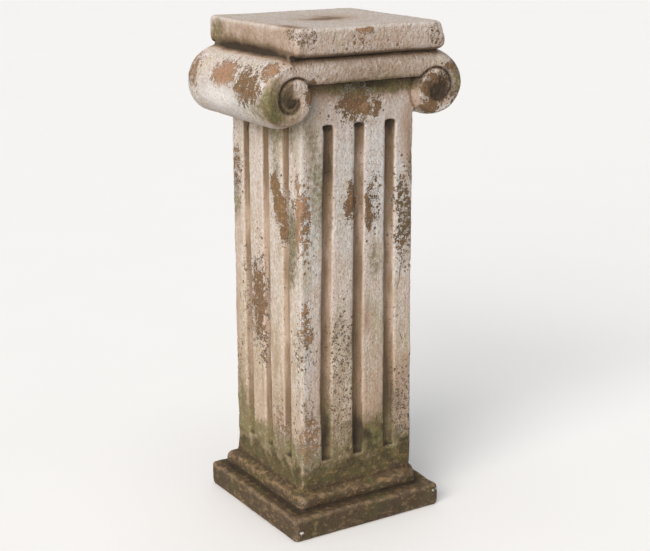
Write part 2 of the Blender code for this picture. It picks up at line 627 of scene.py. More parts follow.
@dataclass(frozen=True)
class Cap:
    """The two volute rolls, the swelling band between them, and the abacus."""

    shaft: Shaft
    spacing: float = 0.262
    radius: float = 0.059
    pitch: float = 0.028
    length: float = 0.250
    roll_edge: float = 0.007
    hook_angle: float = math.radians(300)
    groove_radius: float = 0.0024
    groove_sink: float = 0.0012
    groove_lead: float = math.radians(12)
    groove_end_angle: float = math.radians(655)
    groove_taper: float = 0.35
    dish_radius: float = 0.026
    dish_depth: float = 0.0055
    eye_drop: float = 0.0055
    eye_radius: float = 0.0065
    eye_height: float = 0.0035
    band_setback: float = 0.001
    band_top_hollow: float = 0.010
    band_foot_hollow: float = 0.004
    band_steps: int = 24
    abacus_width: float = 0.269
    abacus_thickness: float = 0.0435
    abacus_top_edge: float = 0.005
    abacus_foot_edge: float = 0.012
    abacus_corner: float = 0.008
    lathe_steps: int = 48

    @property
    def pole_x(self) -> float:
        """How far each volute's pole is from the middle."""
        return self.spacing / 2

    @property
    def pole_z(self) -> float:
        """The height of the volutes' poles."""
        return self.shaft.top - self.radius

    @property
    def face_y(self) -> float:
        """How far the volutes' faces are from the middle."""
        return self.length / 2

    @property
    def foot_z(self) -> float:
        """The height of the volutes' lowest points."""
        return self.pole_z - self.spiral_radius(FULL_TURN / 2)

    @property
    def band_z(self) -> float:
        """The height of the band's lower edge, where the spiral hooks under it."""
        return self.pole_z + self.spiral_radius(self.hook_angle) * math.cos(self.hook_angle)

    def spiral_radius(self, angle: float) -> float:
        """The spiral's radius at that angle round from its top."""
        return self.radius - self.pitch * angle / FULL_TURN

    def spiral(self, graph: Graph, angle: Wire, radius: Wire, pitch: Wire,
               drop: Wire) -> tuple[Socket, Socket]:
        """Wires the spiral's point at an angle.

        Args:
            graph: The tree that the nodes go in.
            angle: The angle round from the top.
            radius: The radius at the top.
            pitch: The radius lost each turn.
            drop: How far the pole sinks with each turn past the first.

        Returns:
            How far the point is across and up from the pole.
        """
        turns = graph.calc("DIVIDE", angle, FULL_TURN)
        reach = graph.minus(radius, graph.times(pitch, turns))
        sink = graph.times(drop, graph.calc("MAXIMUM", graph.minus(turns, 1.0), 0.0))
        across = graph.times(reach, graph.calc("SINE", angle))
        up = graph.minus(graph.times(reach, graph.calc("COSINE", angle)), sink)
        return across, up

    def roll_tree(self, sizes: Sizes) -> bpy.types.NodeTree:
        """Builds the tree that carries the spiral outline along each roll, with round-edged ends.

        Args:
            sizes: Its named inputs.

        Returns:
            The tree.
        """
        graph = Graph.geometry("volute_rolls", sizes)
        size = graph.inputs().outputs
        factor = graph.add("GeometryNodeSplineParameter").outputs["Factor"]
        angle = graph.times(factor, FULL_TURN)
        across, up = self.spiral(graph, angle, size["Radius"], size["Pitch"], 0.0)
        line = graph.add("GeometryNodeCurvePrimitiveLine")
        points = graph.add("GeometryNodeResampleCurve", {"Curve": line, "Count": size["Outline Points"]})
        place = graph.join_xyz(across, graph.times(up, -1.0))
        outline = graph.add("GeometryNodeSetPosition", {"Geometry": points, "Position": place})
        outline = graph.add("GeometryNodeSetSplineCyclic", {"Geometry": outline, "Cyclic": True})
        half = graph.times(size["Length"], 0.5)
        sweep = graph.times(graph.minus(factor, 0.5), math.pi)
        along = graph.times(half, graph.calc("SINE", sweep))
        from_end = graph.minus(half, graph.calc("ABSOLUTE", along))
        share = graph.minus(1.0, graph.calc("DIVIDE", from_end, size["Edge"]), clamp=True)
        fall = graph.calc("SQRT", graph.minus(1.0, graph.times(share, share), clamp=True))
        rounding = graph.minus(1.0, fall)
        middle_radius = graph.minus(size["Radius"], graph.times(size["Pitch"], 0.5))
        scale = graph.minus(1.0, graph.calc(
            "DIVIDE", graph.times(rounding, size["Edge"]), middle_radius))
        path = graph.add("GeometryNodeResampleCurve", {"Curve": line, "Count": size["Stations"]})
        place = graph.join_xyz(0.0, along)
        path = graph.add("GeometryNodeSetPosition", {"Geometry": path, "Position": place})
        path = graph.add("GeometryNodeSetCurveNormal", {"Curve": path}, mode="Z_UP")
        skin = graph.add("GeometryNodeCurveToMesh", {
            "Curve": path, "Profile Curve": outline, "Scale": scale, "Fill Caps": True})
        return graph.finish(Geometry=self.beside_the_shaft(graph, skin, size, 0.0))

    def groove_tree(self, sizes: Sizes) -> bpy.types.NodeTree:
        """Builds the tree that carries a round groove along each spiral, from the hook in to the eye.

        Args:
            sizes: Its named inputs.

        Returns:
            The tree.
        """
        graph = Graph.geometry("volute_grooves", sizes)
        size = graph.inputs().outputs
        factor = graph.add("GeometryNodeSplineParameter").outputs["Factor"]
        spread = graph.times(factor, graph.minus(size["End Angle"], size["Start Angle"]))
        angle = graph.plus(size["Start Angle"], spread)
        across, up = self.spiral(graph, angle, size["Radius"], size["Pitch"], size["Drop"])
        line = graph.add("GeometryNodeCurvePrimitiveLine")
        path = graph.add("GeometryNodeResampleCurve", {"Curve": line, "Count": size["Path Points"]})
        place = graph.join_xyz(across, 0.0, up)
        path = graph.add("GeometryNodeSetPosition", {"Geometry": path, "Position": place})
        profile = graph.add("GeometryNodeCurvePrimitiveCircle", {
            "Resolution": size["Sides"], "Radius": size["Groove Radius"]})
        taper = graph.minus(1.0, graph.times(factor, self.groove_taper))
        skin = graph.add("GeometryNodeCurveToMesh", {
            "Curve": path, "Profile Curve": profile, "Scale": taper, "Fill Caps": True})
        return graph.finish(Geometry=self.beside_the_shaft(graph, skin, size, size["Face Y"]))

    def beside_the_shaft(self, graph: Graph, piece: Wire, size: Sockets, face_y: Wire) -> bpy.types.Node:
        """Wires a piece of the +X volute onto both sides, mirrored at -X.

        Args:
            graph: The tree that the nodes go in.
            piece: The geometry about the volute's pole.
            size: The tree's inputs, with Pole X and Pole Z.
            face_y: How far from the middle a copy goes on each face, or 0 for one copy a side.

        Returns:
            The node with the placed copies, as real geometry set to no material.
        """
        ahead = graph.add("GeometryNodeMeshLine", {
            "Count": 2, "Start Location": graph.join_xyz(0.0, graph.times(face_y, -1.0), size["Pole Z"]),
            "Offset": graph.join_xyz(0.0, graph.times(face_y, 2.0))})
        pair = graph.add("GeometryNodeInstanceOnPoints", {"Points": ahead, "Instance": piece})
        if face_y == 0.0:
            pair = graph.add("GeometryNodeTransform", {
                "Geometry": piece, "Translation": graph.join_xyz(0.0, 0.0, size["Pole Z"])})
        sides = graph.add("GeometryNodeMeshLine", {
            "Count": 2, "Start Location": graph.join_xyz(graph.times(size["Pole X"], -1.0)),
            "Offset": graph.join_xyz(graph.times(size["Pole X"], 2.0))})
        flip = graph.minus(graph.times(graph.add("GeometryNodeInputIndex"), 2.0), 1.0)
        both = graph.add("GeometryNodeInstanceOnPoints", {
            "Points": sides, "Instance": pair, "Scale": graph.join_xyz(flip, 1.0, 1.0)})
        real = graph.add("GeometryNodeRealizeInstances", {"Geometry": both})
        return graph.add("GeometryNodeSetMaterial", {"Geometry": real})

    def rolls(self) -> bpy.types.Object:
        """Makes both volute rolls.

        Returns:
            The two closed bodies in one object.
        """
        sizes = {
            "Radius": self.radius, "Pitch": self.pitch, "Length": self.length, "Edge": self.roll_edge,
            "Pole X": self.pole_x, "Pole Z": self.pole_z, "Outline Points": 97, "Stations": 71}
        return face_outwards(grown(self.roll_tree(sizes), sizes, mesh_object("rolls")))

    def grooves(self) -> bpy.types.Object:
        """Makes the groove cutters.

        Returns:
            The cutters of the four volute faces in one object.
        """
        sizes = {
            "Radius": self.radius, "Pitch": self.pitch, "Groove Radius": self.groove_radius,
            "Start Angle": self.hook_angle - self.groove_lead, "End Angle": self.groove_end_angle,
            "Drop": self.eye_drop, "Pole X": self.pole_x, "Pole Z": self.pole_z,
            "Face Y": self.face_y - self.groove_sink, "Path Points": 121, "Sides": 14}
        return face_outwards(grown(self.groove_tree(sizes), sizes, mesh_object("grooves")))

    def turned(self, name: str, profile: Sequence[tuple[float, float]]) -> bpy.types.Object:
        """Makes a form turned about each of the four eyes.

        Args:
            name: The object's name.
            profile: Points (radius, depth into the face), from one end to the other.

        Returns:
            The four forms in one object.
        """
        eye_z = self.pole_z - self.eye_drop
        steps = [FULL_TURN * i / self.lathe_steps for i in range(self.lathe_steps)]

        def fill(bm: bmesh.types.BMesh) -> None:
            """Lofts the profile's rings on each side and face.

            Args:
                bm: Where the forms go.
            """
            for side, face in ((-1, -1), (-1, 1), (1, -1), (1, 1)):
                rings = []
                for radius, depth in profile:
                    y = face * (self.face_y - depth)
                    rings.append([(side * self.pole_x + radius * math.cos(angle), y,
                                   eye_z + radius * math.sin(angle)) for angle in steps])
                loft(bm, rings)

        return mesh_object(name, fill)

    def dishes(self) -> bpy.types.Object:
        """Makes the hollows that let the inner coils sink towards the eyes.

        Returns:
            The four cutters in one object.
        """
        steps = 10
        rim = self.dish_depth / steps
        profile = [(self.dish_radius, -self.dish_depth), (self.dish_radius, -rim)]
        for i in range(steps):
            share = i / steps
            sink = self.dish_depth * (1 - math.cos(math.pi * share)) / 2
            profile.append((self.dish_radius * (1 - share), sink))
        return self.turned("dishes", profile)

    def eyes(self) -> bpy.types.Object:
        """Makes the low round buttons in the middle of the dishes.

        Returns:
            The four buttons in one object.
        """
        profile = [(self.eye_radius, self.dish_depth + self.eye_height)]
        for inset, rise in quarter_round(8)[:-1]:
            profile.append((self.eye_radius * (1 - inset), self.dish_depth - self.eye_height * rise))
        return self.turned("eyes", profile)

    def band(self, lap: float) -> bpy.types.Object:
        """Makes the bar between the rolls, which swells on the front and on the back.

        Args:
            lap: How far it runs into the abacus and the rolls.

        Returns:
            The bar.
        """
        height = self.shaft.top - self.band_z
        swell = []
        for i in range(self.band_steps + 1):
            rise = i / self.band_steps
            hollow = self.band_foot_hollow if rise < 1 / 2 else self.band_top_hollow
            y = self.face_y - self.band_setback - hollow * (2 * rise - 1) ** 2
            swell.append((y, self.band_z + height * rise))
        swell.append((swell[-1][0], self.shaft.top + lap))
        outline = swell + [(-y, z) for y, z in reversed(swell)]
        ends = (-self.pole_x - lap / 2, self.pole_x + lap / 2)
        return mesh_object("band", lambda bm: loft(bm, [[(x, y, z) for y, z in outline] for x in ends]))

    def abacus(self) -> bpy.types.Object:
        """Makes the slab on top, whose lower edge is rounder than its upper one.

        Returns:
            The slab.
        """
        slab = Slab(self.abacus_width, self.shaft.top, self.shaft.top + self.abacus_thickness,
                    self.abacus_foot_edge, self.abacus_top_edge, self.abacus_corner)
        return mesh_object("abacus", lambda bm: loft(bm, slab.rings()))


# Wear and age


class Side(Enum):
    """The side that a mark lies on."""

    FRONT = "front"
    BACK = "back"
    LEFT = "left"
    RIGHT = "right"
    TOP = "top"

    @property
    def axes(self) -> tuple[int, int, int]:
        """The axes that point out of the side, along it and up it."""
        if self is Side.TOP:
            return (2, 0, 1)
        return (1, 0, 2) if self in (Side.FRONT, Side.BACK) else (0, 1, 2)


@dataclass(frozen=True)
class Mark:
    """A soft-edged oval on the skin, given by its middle and its half sizes."""

    place: Triple
    across: float
    up: float
    side: Side = Side.FRONT
    depth: float = 0.020

    def distance(self, points: np.ndarray) -> np.ndarray:
        """Measures how far points are from the mark's middle.

        Args:
            points: The points.

        Returns:
            The distances, 1 at the mark's edge.
        """
        half = np.empty(3)
        out, along, upwards = self.side.axes
        half[out], half[along], half[upwards] = self.depth, self.across, self.up
        return np.linalg.norm((points - np.array(self.place)) / half, axis=1)


class Tone(Enum):
    """What shows where paint has gone, as a place on the finish's ramp of under-colours."""

    TERRACOTTA = 0.05
    RUST = 0.28
    MUSTARD = 0.50
    BROWN = 0.70
    OLIVE = 0.95


@dataclass(frozen=True)
class PaintLoss(Mark):
    """A mark where paint has flaked off."""

    tone: Tone = Tone.TERRACOTTA
    cover: float = 1.0


class Tint(Enum):
    """The soft stains and the painted light and shade, each kept in a vertex attribute of its own."""

    MOSS = "moss"
    SOIL = "soil"
    CHALK = "chalk"
    COOL = "cool"
    EARTH = "earth"


@dataclass(frozen=True)
class Stain(Mark):
    """A mark where a stain, painted light or painted shade lies over the paint, or less of it where its
    strength is negative.
    """

    strength: float = 1.0


@dataclass(frozen=True)
class Dent:
    """A soft pull on part of the skin."""

    place: Triple
    reach: float
    shift: Triple

    def move(self, points: np.ndarray) -> np.ndarray:
        """The shift of each point."""
        share = np.linalg.norm(points - np.array(self.place), axis=1) / self.reach
        return np.exp(-2 * share ** 2)[:, None] * np.array(self.shift)


@dataclass(frozen=True)
class Bite:
    """A chip knocked out of an arris: what lies in a rough ball goes back to its surface."""

    place: Triple
    radius: float
    roughness: float = 0.35
    grit_scale: float = 260.0

    def move(self, points: np.ndarray, normals: np.ndarray) -> np.ndarray:
        """Finds how far the bite pushes points back.

        Args:
            points: The points.
            normals: Their normals.

        Returns:
            The shift of each point, along its normal.
        """
        away = points - np.array(self.place)
        distance = np.linalg.norm(away, axis=1)
        near = np.nonzero(distance < self.radius * (1 + self.roughness))[0]
        shift = np.zeros_like(points)
        for i in near:
            grit = noise.noise(Vector(points[i]) * self.grit_scale)
            sink = self.radius * (1 + self.roughness * grit) - distance[i]
            shift[i] = -normals[i] * max(sink, 0.0)
        return shift


@dataclass(frozen=True)
class Sway:
    """How the hand-made casting wanders off plumb, as knots (height, shift in x, shift in y)."""

    knots: tuple[Triple, ...] = (
        (0.1, 0.0, 0.0), (0.35, -0.0024, 0.0016), (0.6, -0.004, 0.0026), (0.65, -0.0036, 0.0024),
        (0.7, 0.0, 0.0), (0.755, 0.0, 0.0), (0.764, 0.0018, -0.0012))

    def move(self, points: np.ndarray) -> np.ndarray:
        """Finds how far off plumb points are.

        Args:
            points: The points.

        Returns:
            The shift of each point.
        """
        heights, xs, ys = zip(*self.knots)
        shift = np.zeros_like(points)
        shift[:, 0] = np.interp(points[:, 2], heights, xs)
        shift[:, 1] = np.interp(points[:, 2], heights, ys)
        return shift


@dataclass(frozen=True)
class Drift:
    """How far a flute of the front face strays from its line, as knots (height, shift in x)."""

    place: float
    knots: tuple[tuple[float, float], ...]
    face: float = -0.105
    reach: float = 0.045

    def move(self, points: np.ndarray) -> np.ndarray:
        """Finds how far points on and by the flute are shifted.

        Args:
            points: The points.

        Returns:
            The shift of each point.
        """
        heights, shifts = zip(*self.knots)
        away = (points[:, 0] - self.place) ** 2 + (points[:, 1] - self.face) ** 2
        shift = np.zeros_like(points)
        shift[:, 0] = np.exp(-2 * away / self.reach ** 2) * np.interp(points[:, 2], heights, shifts)
        return shift


@dataclass(frozen=True)
class Relief:
    """The fine relief of a cast and brushed skin."""

    softening: int = 3
    wide_softening: int = 8
    wobble: float = 0.0011
    wobble_scale: float = 9.0
    lump: float = 0.0005
    lump_scale: float = 70.0
    brush: float = 0.00022
    brush_scale: float = 240.0
    pit: float = 0.0009
    pit_scale: float = 55.0
    wear: float = 0.0011
    wear_scale: float = 45.0
    edge: float = 0.0006
    ground_layer: float = 0.0005
    underside_top: float = 0.0008
    held_below: float = 0.006
    seed: float = 7.0

    def sizes(self) -> Sizes:
        """The values for the tree's inputs, by name."""
        return {name.replace("_", " ").title(): value for name, value in vars(self).items()}

    def blurred(self, graph: Graph, place: Wire, rounds: Wire) -> Socket:
        """Evens out a place over its neighbours.

        Args:
            graph: The tree that the nodes go in.
            place: The place.
            rounds: How often it is evened out.

        Returns:
            The even place.
        """
        node = graph.add("GeometryNodeBlurAttribute", {"Iterations": rounds}, data_type="FLOAT_VECTOR")
        taken, given = [next(socket for socket in sockets if socket.type == "VECTOR" and socket.enabled)
                        for sockets in (node.inputs, node.outputs)]
        graph.feed(taken, place)
        return given

    def tree(self, skin: bpy.types.Material, underside: bpy.types.Material) -> bpy.types.NodeTree:
        """Builds the tree that softens, wears and roughens a body and marks its ridges and hollows.

        Args:
            skin: The material of what shows.
            underside: The material of the face that it stands on.

        Returns:
            The tree, with the relief's sizes as inputs.
        """
        graph = Graph.geometry("casting_relief", self.sizes())
        size = graph.inputs().outputs
        seed = size["Seed"]
        place = graph.add("GeometryNodeInputPosition").outputs[0]
        height = graph.add("ShaderNodeSeparateXYZ", {0: place}).outputs[2]
        softened = graph.add("GeometryNodeSetPosition", {
            "Geometry": size["Geometry"], "Position": self.blurred(graph, place, size["Softening"]),
            "Selection": graph.calc("GREATER_THAN", height, size["Ground Layer"])})
        normal = graph.add("GeometryNodeInputNormal").outputs[0]
        away = graph.vector("SUBTRACT", place, self.blurred(graph, place, size["Wide Softening"]))
        bulge = graph.vector("DOT_PRODUCT", away, normal)
        least = graph.times(size["Edge"], 0.15)
        ridge = graph.ramp(bulge, least, size["Edge"])
        hollow = graph.ramp(graph.times(bulge, -1.0), least, size["Edge"])
        marked = graph.add("GeometryNodeStoreNamedAttribute", {
            "Geometry": softened, "Name": "ridge", "Value": ridge}, data_type="FLOAT", domain="POINT")
        marked = graph.add("GeometryNodeStoreNamedAttribute", {
            "Geometry": marked, "Name": "hollow", "Value": hollow}, data_type="FLOAT", domain="POINT")
        ridge = graph.add("GeometryNodeInputNamedAttribute", {"Name": "ridge"}, data_type="FLOAT")
        wander = graph.stray(place, size["Wobble Scale"], 1.0, graph.times(size["Wobble"], 4.0), seed=seed)
        lump = graph.noise(place, size["Lump Scale"], 3.0, seed=seed)
        lump = graph.swing(lump, graph.times(size["Lump"], 3.0))
        streaks = graph.vector("MULTIPLY", place, (1.0, 1.0, 0.14))
        brush = graph.noise(streaks, size["Brush Scale"], 2.0, seed=seed)
        brush = graph.swing(brush, graph.times(size["Brush"], 3.0))
        cells = graph.add("ShaderNodeTexVoronoi", {"Vector": place, "Scale": size["Pit Scale"]})
        chance = graph.add("FunctionNodeSeparateColor", {0: cells.outputs["Color"]}).outputs[0]
        pit = graph.times(graph.ramp(cells.outputs["Distance"], 0.16, 0.04), graph.ramp(chance, 0.55, 0.9))
        ragged = graph.noise(place, size["Wear Scale"], 4.0, 0.62, seed=seed)
        worn = graph.times(graph.times(ridge, size["Wear"]), graph.ramp(ragged, 0.35, 0.75))
        sunk = graph.plus(graph.times(pit, size["Pit"]), worn)
        out = graph.minus(graph.plus(lump, brush), sunk)
        shift = graph.vector("ADD", graph.scaled(normal, out), wander)
        shift = graph.scaled(shift, graph.ramp(height, size["Ground Layer"], size["Held Below"]))
        shaped = graph.add("GeometryNodeSetPosition", {"Geometry": marked, "Offset": shift})
        real = graph.add("GeometryNodeRealizeInstances", {"Geometry": shaped})
        dressed = graph.add("GeometryNodeSetMaterial", {"Geometry": real, "Material": skin})
        below = graph.calc("LESS_THAN", height, size["Underside Top"])
        dressed = graph.add("GeometryNodeSetMaterial", {
            "Geometry": dressed, "Material": underside, "Selection": below})
        return graph.finish(Geometry=dressed)


FLAKES = (
    PaintLoss((-0.01, -0.105, 0.68), 0.026, 0.027, tone=Tone.BROWN, cover=0.95),
    PaintLoss((0.004, -0.105, 0.668), 0.02, 0.018, tone=Tone.RUST, cover=0.85),
    PaintLoss((0.034, -0.105, 0.672), 0.008, 0.018, tone=Tone.BROWN, cover=0.75),
    PaintLoss((-0.015, -0.105, 0.525), 0.012, 0.03, tone=Tone.BROWN),
    PaintLoss((0.019, -0.105, 0.518), 0.007, 0.038, tone=Tone.BROWN, cover=0.8),
    PaintLoss((0.03, -0.105, 0.53), 0.01, 0.036, tone=Tone.OLIVE, cover=0.42),
    PaintLoss((0.088, -0.105, 0.496), 0.016, 0.064, tone=Tone.OLIVE, cover=0.65),
    PaintLoss((0.092, -0.105, 0.425), 0.012, 0.02, tone=Tone.BROWN, cover=0.4),
    PaintLoss((-0.03, -0.105, 0.29), 0.018, 0.05, tone=Tone.OLIVE, cover=0.42),
    PaintLoss((-0.03, -0.105, 0.205), 0.02, 0.065, tone=Tone.BROWN, cover=0.36),
    PaintLoss((0.09, -0.105, 0.15), 0.016, 0.07, tone=Tone.OLIVE, cover=0.42),
    PaintLoss((-0.105, -0.098, 0.512), 0.008, 0.058, Side.LEFT, depth=0.012, cover=0.95),
    PaintLoss((-0.096, -0.105, 0.505), 0.009, 0.056, depth=0.012, tone=Tone.RUST, cover=0.6),
    PaintLoss((-0.094, -0.105, 0.34), 0.01, 0.036, tone=Tone.RUST, cover=0.62),
    PaintLoss((-0.098, -0.105, 0.29), 0.012, 0.02, tone=Tone.BROWN, cover=0.3),
    PaintLoss((-0.092, -0.105, 0.15), 0.015, 0.06, tone=Tone.RUST, cover=0.62),
    PaintLoss((-0.105, -0.031, 0.55), 0.013, 0.024, Side.LEFT, tone=Tone.MUSTARD, cover=0.95),
    PaintLoss((-0.105, -0.043, 0.517), 0.016, 0.03, Side.LEFT, tone=Tone.MUSTARD, cover=0.95),
    PaintLoss((-0.105, -0.055, 0.486), 0.011, 0.022, Side.LEFT, tone=Tone.BROWN, cover=0.8),
    PaintLoss((-0.105, -0.074, 0.518), 0.014, 0.034, Side.LEFT, tone=Tone.BROWN, cover=0.48),
    PaintLoss((-0.105, -0.076, 0.47), 0.014, 0.036, Side.LEFT, tone=Tone.OLIVE, cover=0.4),
    PaintLoss((-0.105, 0.026, 0.355), 0.022, 0.07, Side.LEFT, tone=Tone.BROWN, cover=0.72),
    PaintLoss((-0.105, 0.055, 0.345), 0.016, 0.065, Side.LEFT, tone=Tone.RUST, cover=0.45),
    PaintLoss((-0.105, 0.012, 0.28), 0.012, 0.03, Side.LEFT, tone=Tone.BROWN, cover=0.5),
    PaintLoss((-0.105, 0.09, 0.558), 0.016, 0.04, Side.LEFT, tone=Tone.BROWN, cover=0.6),
    PaintLoss((-0.105, 0.098, 0.245), 0.012, 0.03, Side.LEFT, tone=Tone.BROWN, cover=0.25),
    PaintLoss((-0.105, -0.034, 0.145), 0.014, 0.045, Side.LEFT, tone=Tone.RUST, cover=0.58),
    PaintLoss((-0.18, 0.0, 0.724), 0.032, 0.025, Side.LEFT, 0.03),
    PaintLoss((-0.17, -0.072, 0.712), 0.036, 0.028, Side.LEFT, 0.03, Tone.BROWN, 0.9),
    PaintLoss((-0.17, -0.112, 0.74), 0.022, 0.012, Side.LEFT, 0.03, Tone.RUST, 0.7),
    PaintLoss((-0.18, 0.101, 0.72), 0.02, 0.025, Side.LEFT, 0.03, Tone.RUST, 0.6),
    PaintLoss((-0.102, -0.125, 0.706), 0.01, 0.018, tone=Tone.BROWN),
    PaintLoss((0.128, -0.125, 0.692), 0.028, 0.027, tone=Tone.BROWN, cover=0.95),
    PaintLoss((0.116, -0.125, 0.668), 0.018, 0.015, tone=Tone.BROWN, cover=0.8),
    PaintLoss((0.166, -0.125, 0.678), 0.009, 0.018, tone=Tone.OLIVE, cover=0.45),
    PaintLoss((0.155, -0.125, 0.728), 0.016, 0.016, tone=Tone.BROWN, cover=0.7),
    PaintLoss((-0.015, -0.135, 0.793), 0.018, 0.004),
    PaintLoss((-0.015, -0.135, 0.777), 0.036, 0.012, tone=Tone.RUST, cover=0.25),
    PaintLoss((0.112, -0.134, 0.779), 0.011, 0.015, tone=Tone.BROWN, cover=0.5),
    PaintLoss((-0.118, -0.135, 0.784), 0.016, 0.01, tone=Tone.BROWN, cover=0.45),
    PaintLoss((-0.135, -0.117, 0.79), 0.014, 0.009, Side.LEFT, tone=Tone.MUSTARD, cover=0.5),
    PaintLoss((0.105, 0.04, 0.56), 0.014, 0.05, Side.RIGHT, tone=Tone.RUST, cover=0.7),
    PaintLoss((0.105, -0.035, 0.37), 0.02, 0.055, Side.RIGHT, tone=Tone.BROWN, cover=0.5),
    PaintLoss((0.105, 0.085, 0.21), 0.018, 0.06, Side.RIGHT, cover=0.55),
    PaintLoss((0.18, 0.055, 0.715), 0.03, 0.022, Side.RIGHT, 0.03, cover=0.9),
    PaintLoss((0.135, 0.07, 0.785), 0.022, 0.008, Side.RIGHT, tone=Tone.RUST, cover=0.6),
    PaintLoss((0.04, 0.105, 0.6), 0.016, 0.042, Side.BACK, tone=Tone.RUST, cover=0.7),
    PaintLoss((-0.065, 0.105, 0.43), 0.018, 0.06, Side.BACK, tone=Tone.BROWN, cover=0.5),
    PaintLoss((0.09, 0.105, 0.29), 0.014, 0.07, Side.BACK, cover=0.6),
    PaintLoss((-0.02, 0.135, 0.785), 0.03, 0.009, Side.BACK, cover=0.6),
    PaintLoss((-0.13, 0.125, 0.69), 0.022, 0.022, Side.BACK, tone=Tone.BROWN, cover=0.7),
)

